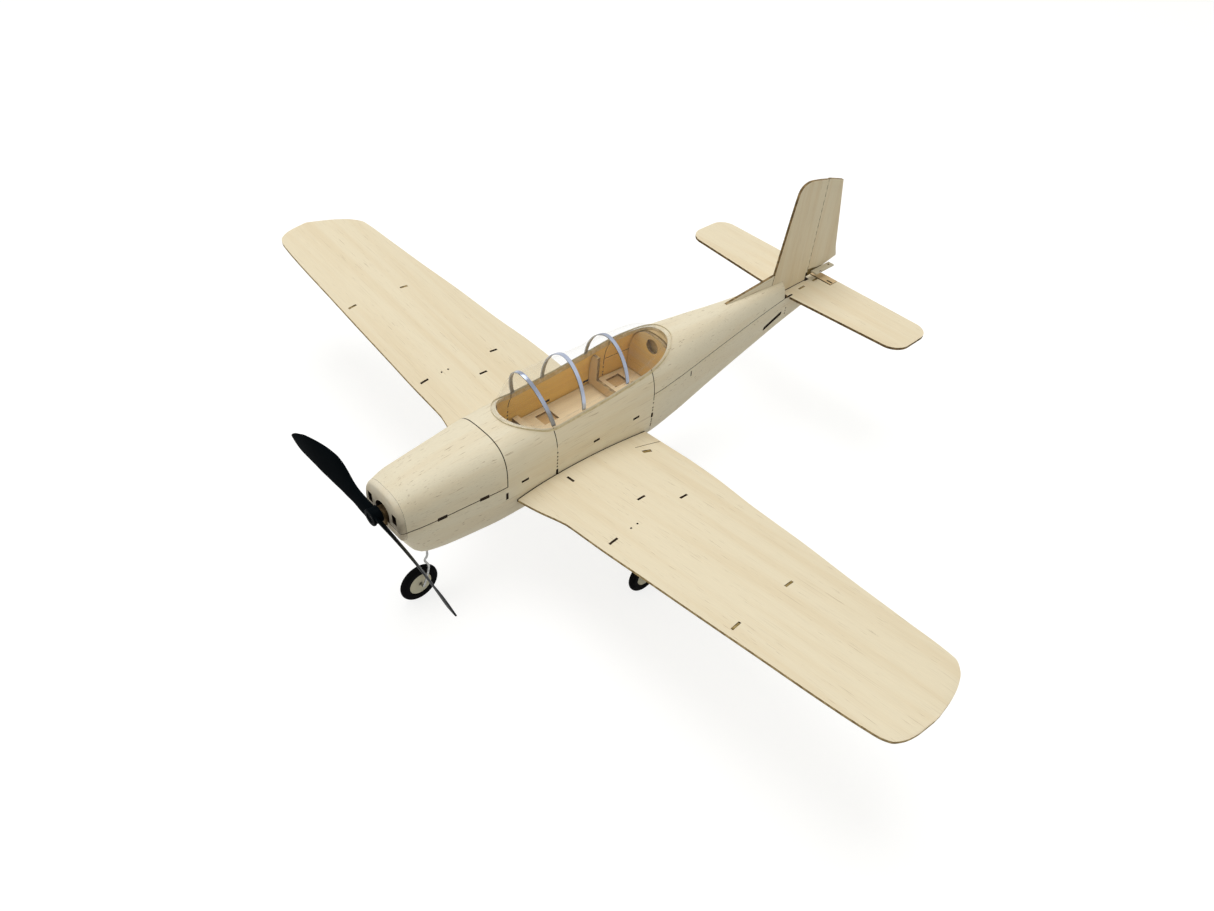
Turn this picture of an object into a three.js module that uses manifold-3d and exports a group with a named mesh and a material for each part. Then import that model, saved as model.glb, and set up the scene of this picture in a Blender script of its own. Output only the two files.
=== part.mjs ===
// Rubber band plane: a light balsa model aeroplane with a hatch over its motor bay.
// Nose towards -Y, port wing towards +X, up is +Z, wheels stand on z = 0. Millimetres.
import * as THREE from 'three';
import { mergeVertices } from 'three/addons/utils/BufferGeometryUtils.js';
import Module from 'manifold-3d';

const wasm = await Module();
wasm.setup();

// Clearances and sheet thicknesses
const touchGap = 0.3;
const cutOver = 5;
const skinWood = 1.2;
const formerWood = 1.5;
const wingWood = 1.2;
const tailWood = 1.3;

// Hull: a lofted shell from the nose joint to the tail end
const hullFront = -133.35;
const hullRear = 121;
const hullHalfWidth = 17.1;
const crutchZ = 56.5;
const deckRise = 23.5;
const bellyDepth = 24;
const hullLength = hullRear - hullFront;
const hullSides = 40;
// Rows: along, width, rise, depth, then the roundness powers above and below the crutch
const hullShares = [
  [0, 0.731, 0.6128, 0.3, 2.9, 3.2],
  [0.0092, 0.7544, 0.6468, 0.55, 2.95, 3.3],
  [0.025, 0.7953, 0.6936, 0.8208, 2.9, 3.2],
  [0.0446, 0.8304, 0.709, 0.9292, 2.85, 3.1],
  [0.0721, 0.8655, 0.7383, 0.975, 2.85, 3.3],
  [0.1115, 0.9123, 0.77, 0.9917, 2.9, 3.6],
  [0.1736, 0.9883, 0.805, 0.9875, 3.05, 4],
  [0.2255, 0.9942, 0.8426, 0.9792, 2.95, 4.2],
  [0.275, 1, 0.8553, 0.9708, 2.6, 4.4],
  [0.367, 1, 0.8936, 0.9542, 2.6, 4.5],
  [0.4339, 1, 0.9447, 0.9125, 2.65, 4.8],
  [0.4936, 0.9942, 0.9915, 0.8542, 2.75, 5],
  [0.5636, 0.9064, 0.966, 0.7625, 2.65, 5.5],
  [0.6422, 0.7544, 0.8979, 0.6458, 2.6, 6],
  [0.7405, 0.5673, 0.8, 0.5208, 2.4, 6],
  [0.8388, 0.386, 0.7191, 0.4125, 2.3, 6],
  [0.9096, 0.2749, 0.6511, 0.3208, 2.2, 6],
  [1, 0.1637, 0.5745, 0.2042, 2.2, 6],
];

// Joints in the skin
const hatchRearY = -89.2;
const frontJointY = -63.4;
const rearJointY = -7.8;
const rearSeamFrontZ = 62.6;
const rearSeamRearZ = 63.6;
const deckEndY = 97.5;
const bellyInset = 1;
const bellyWallHeight = 1.4;

// Nose blocks and their openings
const noseFaceY = -135.6;
const noseFaceInset = 1.6;
const noseRoundY = -134.9;
const noseRoundInset = 0.6;
const noseBlockRearY = -128;
const chinFrontZ = 53;
const chinRearZ = 49.4;
const thrustZ = 59.7;
const inletX = 8.1;
const inletHalfWidth = 1.4;
const inletBottomZ = 59;
const inletTopZ = 63.6;
const centreHoleRadius = 4.5;
const centreHoleTopZ = 60;

// Side slot, tabs and cuts
const sideSlotFrontY = 81;
const sideSlotRearY = 95.2;
const sideSlotZ = 53.7;
const sideSlotHeight = 1.6;
const sideSlotRise = 2.4;
// Rows: middle Y and Z, then length along Y and height, of the small cuts through the hull's sides
const sideCuts = [
  [-118.7, 56.5, 4.2, 1.7],
  [-99.9, 56.5, 4.2, 1.7],
  [-89.4, 51.5, 1.2, 3.6],
  [-80.3, 54.9, 3.7, 1.2],
  [-41.5, 54.9, 3.4, 1.2],
  [-18.1, 54.9, 3.7, 1.2],
];

// Cockpit opening and canopy
const openingHalfWidth = 13.6;
const openingFrontY = -78.5;
const openingRearY = 11;
const openingFrontRound = 19;
const openingRearRound = 25;
const openingFloorZ = 66;
const openingPower = 2.2;
const openingSteps = 12;
const canopyWall = 0.6;
const canopyBaseZ = 71.3;
const canopyHeight = 21.1;
const canopyHalfWidth = 13.1;
const canopyFrontY = -80.6;
const canopyRearY = 14.2;
const canopyLength = canopyRearY - canopyFrontY;
const canopyPower = 1.85;
const canopySides = 24;
const flangeReach = 3.2;
// Rows: along, half width, height
const canopyShares = [
  [0, 0.14, 0.3],
  [0.038, 0.6, 0.66],
  [0.0802, 0.8, 0.84],
  [0.1224, 0.92, 1],
  [0.1751, 0.98, 0.99],
  [0.2595, 1, 0.965],
  [0.3544, 1, 0.95],
  [0.4916, 1, 0.91],
  [0.6181, 1, 0.9],
  [0.7236, 0.98, 0.885],
  [0.808, 0.9, 0.85],
  [0.8819, 0.74, 0.71],
  [0.9451, 0.52, 0.5],
  [1, 0.2, 0.3],
];
// Each hoop's foot, and how far it leans forward by its top
const hoopPlaces = [[-62.5, 5.9], [-46.6, 0], [-21.8, 0.6]];
const hoopWidth = 3.1;
const hoopThickness = 0.3;

// Formers and inner sheets
const firewallY = -127.6;
const baySheetZ = 46;
const hatchFormerY = -87.6;
const hatchBulkheadY = -91.2;
const cockpitFrontFormerY = -74.8;
const seatFormerY = -17;
const cockpitRearFormerY = 6.2;
const tailFormerY = 60;
const tailEndSetback = 3.6;
const tailEndFormerY = hullRear - tailEndSetback;
const floorZ = 52;
const bulkheadHoleRadius = 7;
const rearHoleRadius = 3.6;
const rearHoleZ = 72.4;
const tailHoleRadius = 4;
const seatFormerTopZ = 70;
const seatFormerLeg = 5.2;
const seatArchZ = 58;
const frontFormerTopZ = 73;
const frontFormerLeg = 5.5;
const frontFormerArchZ = 60;
const floorHoleInnerX = 5.5;
const floorHoleOuterX = 12.5;
const floorHoleY = [-51, -9];
const floorHoleLength = 8;
const floorBarY = [-69.5, -61];
const floorBarWidth = 3;
const floorBarHeight = 2.2;

// Wing: one cambered sheet a side, with ribs, spar and brace below
const halfSpan = 190.6;
const wingFrontY = -84.6;
const rootChord = 73.4;
const wingRefX = 62.3;
const wingRefZ = 53.9;
const dihedralShare = 0.12;
const camberPeakShare = 0.3;
const camberFrontShare = 0.308;
const camberRearShare = 0.1445;
const wingCutX = 12;
const wingChordSteps = 9;
// Rows: station, leading edge and trailing edge, as shares of half span and root chord
const wingShares = [
  [0.0787, 0, 1],
  [0.1207, 0.0136, 0.9973],
  [0.1574, 0.03, 0.9932],
  [0.1941, 0.0518, 0.9891],
  [0.2256, 0.0654, 0.9864],
  [0.32, 0.0681, 0.9673],
  [0.4407, 0.0777, 0.9223],
  [0.5876, 0.0886, 0.8815],
  [0.7135, 0.0995, 0.8351],
  [0.8395, 0.109, 0.7956],
  [0.9496, 0.1267, 0.7561],
  [0.9732, 0.1444, 0.6962],
  [0.9864, 0.1853, 0.6144],
  [0.9948, 0.2466, 0.5191],
  [1, 0.3542, 0.3978],
];
const rootRibX = 19;
const innerRibX = 62.4;
const outerRibX = 122.5;
const ribDepth = 5;
const rootRibDepth = 7.4;
const ribEdgeSetback = 2.5;
const ribEdgeShare = 0.35;
const ribSwellPower = 0.7;
const ribSteps = 12;
const sparY = -64.6;
const sparThickness = 1.5;
const sparHeight = 2.4;
const braceThickness = 1.5;
const braceHeight = 4;
const braceHalfLength = 40;
const braceKneeX = 18;
const slotLength = 4.2;
const slotWidth = 1.1;
const innerSlotY = [-74, -35];
const outerSlotY = [-72.9, -43.9];
const gearSlotX = 52;
const gearSlotY = -48.9;
const spanSlots = [[23.7, -61.7], [29, -22]];

// Tail
const stabFrontY = 98.8;
const stabRearY = 131;
const stabHalfSpan = 68;
const stabSweep = 4.4;
const stabTipFront = 9;
const stabTipRear = 8;
const stabArcSteps = 6;
const tabHalfWidth = 12;
const tabHingeY = 125.2;
const tabGap = 0.5;
const tabSlotX = 9.6;
const tabSlotLength = 3.4;
const rudderHingeY = 118.3;
const rudderGap = 0.6;
const finFrontY = 88.6;
const finTopZ = 123.4;
const finHeight = 58;
const finChord = 53.4;
const dorsalFrontY = 54.9;
const dorsalRearY = 88.3;
const dorsalRearZ = 78;
const dorsalFrontZ = 75.6;
const hornLength = 15;
const hornWidth = 3.7;
const hornThickness = 0.8;
const hornFrontY = 121;
const hornZ = 68.9;
const hingeTopShare = 0.046;
const rudderFootShare = 0.97;
// Outline points of the fin and the rudder: shares of chord from the fin's foot and of height from its top
const finTopShares = [
  [0.032, 0.782],
  [0.142, 0.121],
  [0.162, 0.053],
  [0.202, 0.017],
  [0.275, 0],
  [0.412, 0.017],
];
const rudderShares = [
  [0.6, 0.053],
  [0.7, 0.083],
  [0.807, 0.124],
  [0.831, 0.145],
  [0.882, 0.445],
  [0.955, 0.745],
  [1, 0.898],
  [0.878, 0.918],
  [0.68, 0.955],
];

// Undercarriage
const wireRadius = 0.6;
const tyreRadius = 9;
const tyreWidth = 3.4;
const tyreTread = 1.4;
const rimRadius = 5.2;
const hubWidth = 2.8;
const wheelSegments = 24;
const axleZ = tyreRadius * Math.cos(Math.PI / wheelSegments);
const noseLegSetback = 12.65;
const noseLegY = hullFront + noseLegSetback;
const noseTrail = 2.7;
const noseWheelY = noseLegY - noseTrail;
const mainWheelX = 57.5;
const mainWheelY = -46.7;
const legSide = 3.8;
const collarRadius = 1.7;
const collarWidth = 1;
const wireSides = 6;
const wireStep = 2;
const kneeShare = 2.5;
// Heights of the bends in the nose leg above the axle, in tyre radii
const noseBendShares = [1.8, 1.3, 0.5];
const noseWireTopZ = 45.4;
const mainLegX = 53.2;
const mainWireFoot = 7;

// Propeller, shaft and rubber
const propRadius = 54.8;
const propChord = 13.3;
const propRake = 2.5;
const rakePower = 2;
const bladeRootY = -139.3;
const bladeSweepX = 10;
const propThickness = 1.7;
const hubRadius = 3.7;
const hubFrontY = -141.2;
const hubRearY = -137.3;
const propRestAngle = 4;
const bladeSides = 10;
// Rows: shares of the tip radius, the greatest chord, the chord's shift towards the trailing edge
// and the root thickness, then twist in degrees
const bladeShares = [
  [0.03, 0.46, 0, 1, 29],
  [0.1, 0.46, 0, 0.95, 29],
  [0.2, 0.46, 0.02, 0.8, 28],
  [0.28, 0.53, 0.045, 0.7, 27],
  [0.385, 0.72, 0.125, 0.65, 25],
  [0.47, 0.86, 0.18, 0.6, 23.5],
  [0.59, 0.85, 0.165, 0.55, 22.5],
  [0.69, 0.81, 0.145, 0.5, 22],
  [0.858, 0.64, 0.07, 0.45, 21.5],
  [0.93, 0.43, 0.03, 0.42, 21],
  [0.97, 0.28, 0.02, 0.4, 21],
  [1, 0.1, 0, 0.35, 21],
];
const hubSegments = 16;
const washerRadius = 1.9;
const washerThickness = 0.5;
const bearingHalfWidth = 2.5;
const bearingBottomZ = 54.2;
const bearingTopZ = 61;
const bearingFrontY = -136.5;
const bearingRearY = -129.2;
const hookRadius = 2.6;
const hookStartY = -124.2;
const weightLength = 13.7;
const weightHeight = 8;
const weightHalfWidth = 12;
const pegRadius = 1.5;
const pegY = -95;
const pegTopZ = 62;
const strandRadius = 1.2;
const loopSteps = 10;
const strandSides = 8;

// Colours
const balsa = 0xe5d6b8;
const balsaShade = 0xc9a878;
const plywood = 0xc08a4e;
const clearFilm = 0xe9ecea;
const silver = 0xb9c2cf;
const black = 0x16171a;
const steel = 0x8f9296;
const iron = 0x55575a;
const nylon = 0xeeeeea;
const rubberBrown = 0x9a6a3a;

// Solids and meshes
function volumeOf(positions, index) {
  const a = new THREE.Vector3();
  const b = new THREE.Vector3();
  const c = new THREE.Vector3();
  let volume = 0;
  for (let i = 0; i < index.length; i += 3) {
    a.fromArray(positions, index[i] * 3);
    b.fromArray(positions, index[i + 1] * 3);
    c.fromArray(positions, index[i + 2] * 3);
    volume += a.dot(b.cross(c));
  }
  return volume;
}

function solidOf(geometry) {
  const bare = geometry.clone();
  bare.deleteAttribute('normal');
  bare.deleteAttribute('uv');
  const merged = mergeVertices(bare);
  const vertProperties = new Float32Array(merged.attributes.position.array);
  const triVerts = new Uint32Array(merged.index.array);
  if (volumeOf(vertProperties, triVerts) < 0) {
    for (let i = 0; i < triVerts.length; i += 3) {
      [triVerts[i], triVerts[i + 1]] = [triVerts[i + 1], triVerts[i]];
    }
  }
  return new wasm.Manifold(new wasm.Mesh({ numProp: 3, vertProperties, triVerts }));
}

function geometryOf(solid) {
  const mesh = solid.getMesh();
  const geometry = new THREE.BufferGeometry();
  geometry.setAttribute('position', new THREE.Float32BufferAttribute(mesh.vertProperties, 3));
  geometry.setIndex(Array.from(mesh.triVerts));
  geometry.computeVertexNormals();
  return geometry;
}

const group = new THREE.Group();

function addMesh(name, solid, color, roughness, metalness = 0, opacity = 1) {
  const material = new THREE.MeshStandardMaterial({ color, roughness, metalness, opacity });
  material.transparent = opacity < 1;
  const mesh = new THREE.Mesh(geometryOf(solid), material);
  mesh.name = name;
  group.add(mesh);
}

const addWood = (name, solid) => addMesh(name, solid, balsa, 0.75);
const addInnerWood = (name, solid) => addMesh(name, solid, balsaShade, 0.8);

// Rings of points joined into one closed skin; a closed run has no end caps
function loftSolid(rings, closedRun = false) {
  const count = rings[0].length;
  const positions = [];
  const index = [];
  rings.forEach((ring) => ring.forEach((p) => positions.push(p.x, p.y, p.z)));
  const runs = closedRun ? rings.length : rings.length - 1;
  for (let i = 0; i < runs; i += 1) {
    const a = i * count;
    const b = ((i + 1) % rings.length) * count;
    for (let j = 0; j < count; j += 1) {
      const k = (j + 1) % count;
      index.push(a + j, a + k, b + k, a + j, b + k, b + j);
    }
  }
  if (!closedRun) {
    const last = (rings.length - 1) * count;
    for (let j = 1; j < count - 1; j += 1) {
      index.push(0, j + 1, j, last, last + j, last + j + 1);
    }
  }
  const geometry = new THREE.BufferGeometry();
  geometry.setAttribute('position', new THREE.Float32BufferAttribute(positions, 3));
  geometry.setIndex(index);
  return solidOf(geometry);
}

function block(xFrom, xTo, yFrom, yTo, zFrom, zTo) {
  const geometry = new THREE.BoxGeometry(xTo - xFrom, yTo - yFrom, zTo - zFrom);
  geometry.translate((xFrom + xTo) / 2, (yFrom + yTo) / 2, (zFrom + zTo) / 2);
  return solidOf(geometry);
}

function extruded(points, depth, matrix) {
  const shape = new THREE.Shape(points.map(([a, b]) => new THREE.Vector2(a, b)));
  const geometry = new THREE.ExtrudeGeometry(shape, { depth, bevelEnabled: false });
  geometry.applyMatrix4(matrix);
  return solidOf(geometry);
}

const axisX = new THREE.Vector3(1, 0, 0);
const axisY = new THREE.Vector3(0, 1, 0);
const axisZ = new THREE.Vector3(0, 0, 1);

// A sheet drawn in Y and Z, in X and Z, or in X and Y
function sheetX(points, xFrom, xTo) {
  const matrix = new THREE.Matrix4().makeBasis(axisY, axisZ, axisX).setPosition(xFrom, 0, 0);
  return extruded(points, xTo - xFrom, matrix);
}

function sheetY(points, yFrom, yTo) {
  const matrix = new THREE.Matrix4().makeBasis(axisX, axisZ, axisY.clone().negate());
  matrix.setPosition(0, yTo, 0);
  return extruded(points, yTo - yFrom, matrix);
}

function sheetZ(points, zFrom, zTo) {
  const matrix = new THREE.Matrix4().setPosition(0, 0, zFrom);
  return extruded(points, zTo - zFrom, matrix);
}

function rodY(radius, yFrom, yTo, x, z, segments = 16) {
  const geometry = new THREE.CylinderGeometry(radius, radius, yTo - yFrom, segments);
  geometry.translate(x, (yFrom + yTo) / 2, z);
  return solidOf(geometry);
}

function rodX(radius, xFrom, xTo, y, z, segments = 16) {
  const geometry = new THREE.CylinderGeometry(radius, radius, xTo - xFrom, segments);
  geometry.rotateZ(Math.PI / 2);
  geometry.translate((xFrom + xTo) / 2, y, z);
  return solidOf(geometry);
}

// Wire bent through points, drawn as a round section along a smooth path
function wireSolid(points, radius = wireRadius) {
  const path = new THREE.CatmullRomCurve3(points, false, 'centripetal');
  const circle = new THREE.Shape();
  for (let i = 0; i < wireSides; i += 1) {
    const angle = (i / wireSides) * Math.PI * 2;
    const [a, b] = [radius * Math.cos(angle), radius * Math.sin(angle)];
    if (i === 0) circle.moveTo(a, b);
    else circle.lineTo(a, b);
  }
  const steps = Math.ceil(path.getLength() / wireStep);
  return solidOf(new THREE.ExtrudeGeometry(circle, { steps, extrudePath: path }));
}

const at = (x, y, z) => new THREE.Vector3(x, y, z);

// Linear reading of a table of rows whose first value runs from 0 to 1
function readShares(rows, along) {
  const t = Math.min(Math.max(along, rows[0][0]), rows[rows.length - 1][0]);
  let i = 0;
  while (i < rows.length - 2 && rows[i + 1][0] < t) i += 1;
  const [low, high] = [rows[i], rows[i + 1]];
  const mix = (t - low[0]) / (high[0] - low[0]);
  return low.map((value, k) => value + (high[k] - value) * mix);
}

function superRing(count, place) {
  return Array.from({ length: count }, (_, i) => {
    const angle = (i / count) * Math.PI * 2;
    return place(Math.cos(angle), Math.sin(angle));
  });
}

const bulge = (value, power) => Math.sign(value) * Math.abs(value) ** (2 / power);

// Hull sections and solids
function hullRing(y, inset) {
  const [, width, rise, depth, topPower, lowPower] = readShares(hullShares, (y - hullFront) / hullLength);
  return superRing(hullSides, (c, s) => {
    const power = s > 0 ? topPower : lowPower;
    const height = s > 0 ? rise * deckRise : depth * bellyDepth;
    const x = bulge(c, power) * Math.max(width * hullHalfWidth - inset, touchGap);
    return at(x, y, crutchZ + bulge(s, power) * Math.max(height - inset, touchGap));
  });
}

function stations(yFrom, yTo) {
  const inner = hullShares.map(([along]) => hullFront + along * hullLength);
  return [yFrom, ...inner.filter((y) => y > yFrom + touchGap && y < yTo - touchGap), yTo];
}

const hullSolid = (inset, yFrom = hullFront, yTo = hullRear) =>
  loftSolid(stations(yFrom, yTo).map((y) => hullRing(y, inset)));

const wide = hullHalfWidth + cutOver;
const high = crutchZ + deckRise + cutOver;
const low = crutchZ - bellyDepth - cutOver;
const halfGap = touchGap / 2;
const slabY = (yFrom, yTo) => block(-wide, wide, yFrom, yTo, low, high);
const above = (z, yFrom, yTo) => block(-wide, wide, yFrom, yTo, z, high);

const hullOuter = hullSolid(0);
const hullInner = hullSolid(skinWood, hullFront - cutOver, hullRear + cutOver);
const hullRoom = hullSolid(skinWood + touchGap, hullFront - cutOver, hullRear + cutOver);
const hullGrown = hullSolid(-touchGap, hullFront - cutOver, hullRear + cutOver);
const sideCutRun = (total, [y, z, length, height]) => total.subtract(
  block(-wide, wide, y - length / 2, y + length / 2, z - height / 2, z + height / 2));
const skinTube = sideCuts.reduce(sideCutRun, hullOuter.subtract(hullInner));

// Plan outline of the cockpit opening, grown by a margin
function cockpitOutline(margin) {
  const width = openingHalfWidth + margin;
  const frontCentre = openingFrontY + openingFrontRound;
  const rearCentre = openingRearY - openingRearRound;
  const points = [];
  const addArc = (start, centre, reach) => {
    for (let i = 0; i <= openingSteps * 2; i += 1) {
      const angle = start + (i / openingSteps) * (Math.PI / 2);
      const x = width * bulge(Math.cos(angle), openingPower);
      points.push([x, centre + reach * bulge(Math.sin(angle), openingPower)]);
    }
  };
  addArc(0, rearCentre, openingRearRound + margin);
  addArc(Math.PI, frontCentre, openingFrontRound + margin);
  return points;
}

const openingCut = sheetZ(cockpitOutline(0), openingFloorZ, high);

// Wing surface
const wingAt = (x) => readShares(wingShares, Math.abs(x) / halfSpan);

function wingEdges(x) {
  const [, lead, trail] = wingAt(x);
  return [wingFrontY + lead * rootChord, wingFrontY + trail * rootChord];
}

function wingTopZ(x, y) {
  const [lead, trail] = wingEdges(x);
  const chord = trail - lead;
  const t = (y - lead) / chord;
  const bend = t < camberPeakShare ? camberFrontShare : camberRearShare;
  return wingRefZ + dihedralShare * (Math.abs(x) - wingRefX) - chord * bend * (t - camberPeakShare) ** 2;
}

function wingSheet(side) {
  const rings = wingShares.map(([station]) => {
    const x = Math.max(station * halfSpan, wingCutX);
    const [lead, trail] = wingEdges(x);
    const top = [];
    const under = [];
    for (let i = 0; i <= wingChordSteps; i += 1) {
      const share = i / wingChordSteps;
      const y = lead + (trail - lead) * share ** (1 + camberPeakShare);
      const z = wingTopZ(x, y);
      top.push(at(side * x, y, z));
      under.unshift(at(side * x, y, z - wingWood));
    }
    return [...top, ...under];
  });
  return loftSolid(rings);
}

const underWing = (x, y) => wingTopZ(x, y) - wingWood - touchGap;

function ribSolid(x, side, depth) {
  const [lead, trail] = wingEdges(x);
  const from = lead + ribEdgeSetback;
  const to = trail - ribEdgeSetback;
  const top = [];
  const bottom = [];
  for (let i = 0; i <= ribSteps; i += 1) {
    const t = i / ribSteps;
    const y = from + (to - from) * t;
    const swell = ribEdgeShare + (1 - ribEdgeShare) * Math.sin(Math.PI * t ** ribSwellPower);
    const z = Math.min(underWing(x - formerWood / 2, y), underWing(x + formerWood / 2, y));
    top.push([y, z]);
    bottom.unshift([y, z - depth * swell]);
  }
  const xFrom = side > 0 ? x - formerWood / 2 : -x - formerWood / 2;
  return sheetX([...top, ...bottom], xFrom, xFrom + formerWood);
}

function sparSolid(side, grow) {
  const xs = [wingCutX, innerRibX, outerRibX + formerWood];
  const line = (down) => xs.map((x) => [side * x, underWing(x, sparY) - down]);
  const points = [...line(-grow), ...line(sparHeight + grow).reverse()];
  return sheetY(points, sparY - grow, sparY + sparThickness + grow);
}

function braceSolid(grow) {
  const rearY = sparY - touchGap;
  const top = (x) => underWing(x, rearY) + grow;
  const bottom = (x) => underWing(x, rearY) - braceHeight - grow;
  const end = braceHalfLength + grow;
  const xs = [-end, -braceKneeX, braceKneeX, end];
  const points = [
    ...xs.map((x) => [x, top(x)]),
    ...xs.reverse().map((x) => [x, bottom(x)]),
  ];
  return sheetY(points, rearY - braceThickness - grow, rearY + grow);
}

const brace = braceSolid(0);
const braceHole = braceSolid(touchGap);

// Hull skins
function bellyWedge(yFrom, yTo, shrink) {
  const rings = stations(yFrom, yTo).map((y) => {
    const [, width, , depth] = readShares(hullShares, (y - hullFront) / hullLength);
    const x = width * hullHalfWidth - skinWood - bellyInset - shrink;
    const z = crutchZ - depth * bellyDepth + bellyWallHeight - shrink;
    return [at(-x, y, low), at(x, y, low), at(x, y, z), at(-x, y, z)];
  });
  return loftSolid(rings);
}

const noseWireHole = block(
  legSide - wireRadius - touchGap, legSide + wireRadius + touchGap,
  noseLegY - wireRadius - touchGap * 2, noseLegY + wireRadius + touchGap * 2, low, baySheetZ);
const hatchRoom = above(crutchZ - halfGap, hullFront - cutOver, hatchRearY + halfGap);
const frontShell = skinTube
  .intersect(slabY(hullFront, frontJointY - halfGap))
  .subtract(hatchRoom)
  .subtract(openingCut)
  .subtract(braceHole)
  .subtract(noseWireHole);
addWood('front_shell', frontShell);

const middle = skinTube.intersect(slabY(frontJointY + halfGap, rearJointY - halfGap)).subtract(openingCut);
const middleBelly = bellyWedge(frontJointY, rearJointY, 0);
const middleSides = middle.subtract(bellyWedge(frontJointY, rearJointY, -touchGap));
addWood('side_skin_port', middleSides.intersect(block(0, wide, frontJointY, rearJointY, low, high)));
addWood('side_skin_starboard', middleSides.intersect(block(-wide, 0, frontJointY, rearJointY, low, high)));
addWood('cockpit_belly', middle.intersect(middleBelly));

function seamWedge(lift) {
  const points = [
    [rearJointY - cutOver, rearSeamFrontZ + lift],
    [deckEndY, rearSeamRearZ + lift],
    [hullRear + cutOver, rearSeamRearZ + lift],
    [hullRear + cutOver, high],
    [rearJointY - cutOver, high],
  ];
  return sheetX(points, -wide, wide);
}

const rear = skinTube.intersect(slabY(rearJointY + halfGap, hullRear)).subtract(openingCut);
addWood('rear_deck', rear.intersect(seamWedge(halfGap)).intersect(slabY(rearJointY, deckEndY)));
const rearLower = rear.subtract(seamWedge(-halfGap));
const rearSlot = sheetX([
  [sideSlotFrontY, sideSlotZ - sideSlotHeight / 2],
  [sideSlotRearY, sideSlotZ + sideSlotRise - sideSlotHeight / 2],
  [sideSlotRearY, sideSlotZ + sideSlotRise + sideSlotHeight / 2],
  [sideSlotFrontY, sideSlotZ + sideSlotHeight / 2],
], -wide, wide);
const rearWedge = bellyWedge(rearJointY, hullRear + cutOver, -touchGap);
const rearSides = rearLower.subtract(rearWedge).subtract(rearSlot);
addWood('rear_side_port', rearSides.intersect(block(0, wide, rearJointY, hullRear, low, high)));
addWood('rear_side_starboard', rearSides.intersect(block(-wide, 0, rearJointY, hullRear, low, high)));
addWood('rear_belly', rearLower.intersect(bellyWedge(rearJointY, hullRear + cutOver, 0)));

// Nose blocks: one under the hatch seam, one fixed in the hatch
const noseRings = [
  [noseFaceY, noseFaceInset],
  [noseRoundY, noseRoundInset],
  [hullFront - touchGap, 0],
].map(([y, inset]) => hullRing(hullFront, inset).map((p) => at(p.x, y, p.z)));
const noseCap = loftSolid(noseRings);
const noseCore = hullRoom.intersect(slabY(hullFront - touchGap - halfGap, noseBlockRearY));
const noseBlock = noseCap.add(noseCore);
const bearing = block(
  -bearingHalfWidth, bearingHalfWidth, bearingFrontY, bearingRearY, bearingBottomZ, bearingTopZ);
const roomHalf = bearingHalfWidth + touchGap;
const bearingRoom = block(
  -roomHalf, roomHalf, noseFaceY - cutOver, bearingRearY + touchGap, bearingBottomZ - touchGap, high);
const chinCut = sheetX([
  [noseFaceY, chinFrontZ],
  [hullFront - touchGap, chinRearZ],
  [hullFront - touchGap, low],
  [noseFaceY - cutOver, low],
  [noseFaceY - cutOver, chinFrontZ],
], -wide, wide);
const lowerNose = noseBlock
  .intersect(block(-wide, wide, noseFaceY - cutOver, noseBlockRearY, low, crutchZ - halfGap))
  .subtract(bearingRoom)
  .subtract(chinCut);
addWood('nose_block_lower', lowerNose);

const cutFrontY = noseFaceY - cutOver;
const cutRearY = noseBlockRearY + cutOver;
const centreHole = rodY(centreHoleRadius, cutFrontY, cutRearY, 0, centreHoleTopZ)
  .add(block(-centreHoleRadius, centreHoleRadius, cutFrontY, cutRearY, low, centreHoleTopZ));
const inlet = (x) => block(
  x - inletHalfWidth, x + inletHalfWidth, cutFrontY, cutRearY, inletBottomZ, inletTopZ);
const upperNose = noseBlock
  .intersect(block(-wide, wide, cutFrontY, noseBlockRearY, crutchZ + halfGap, high))
  .subtract(centreHole)
  .subtract(inlet(inletX))
  .subtract(inlet(-inletX));
addWood('hatch_nose_block', upperNose);
addWood('hatch_skin', skinTube.intersect(above(crutchZ + halfGap, hullFront, hatchRearY - halfGap)));
const hatchBulkhead = hullRoom
  .intersect(block(-wide, wide, hatchBulkheadY, hatchBulkheadY + formerWood, crutchZ + halfGap, high))
  .subtract(rodY(bulkheadHoleRadius, hatchBulkheadY - cutOver, hatchRearY, 0, thrustZ));
addInnerWood('hatch_former', hatchBulkhead);

// Formers and floors
function formerSolid(y, zFrom, zTo) {
  return hullRoom.intersect(block(-wide, wide, y, y + formerWood, zFrom, zTo));
}

const holeY = (radius, y, z) => rodY(radius, y - cutOver, y + cutOver, 0, z);
const windowY = (half, y, zFrom, zTo) => block(-half, half, y - cutOver, y + cutOver, zFrom, zTo);
addInnerWood('firewall', formerSolid(firewallY, low, crutchZ - halfGap));
addInnerWood('former_hatch', formerSolid(hatchFormerY, low, high)
  .subtract(holeY(bulkheadHoleRadius, hatchFormerY, thrustZ)));
const frontFormerHalf = hullHalfWidth - skinWood - touchGap - frontFormerLeg;
addInnerWood('former_cockpit_front', formerSolid(cockpitFrontFormerY, low, frontFormerTopZ)
  .subtract(windowY(frontFormerHalf, cockpitFrontFormerY, frontFormerArchZ, high)));
const seatHalf = hullHalfWidth - skinWood - touchGap - seatFormerLeg;
const floorTopZ = floorZ + skinWood;
addInnerWood('former_seat', formerSolid(seatFormerY, floorTopZ + touchGap, seatFormerTopZ)
  .subtract(windowY(seatHalf, seatFormerY, seatArchZ, high)));
addInnerWood('former_cockpit_rear', formerSolid(cockpitRearFormerY, low, high)
  .subtract(holeY(rearHoleRadius, cockpitRearFormerY, rearHoleZ)));
addInnerWood('former_tail', formerSolid(tailFormerY, low, high)
  .subtract(holeY(tailHoleRadius, tailFormerY, crutchZ)));
addInnerWood('former_tail_end', formerSolid(tailEndFormerY, low, rearSeamRearZ - touchGap));

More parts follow.
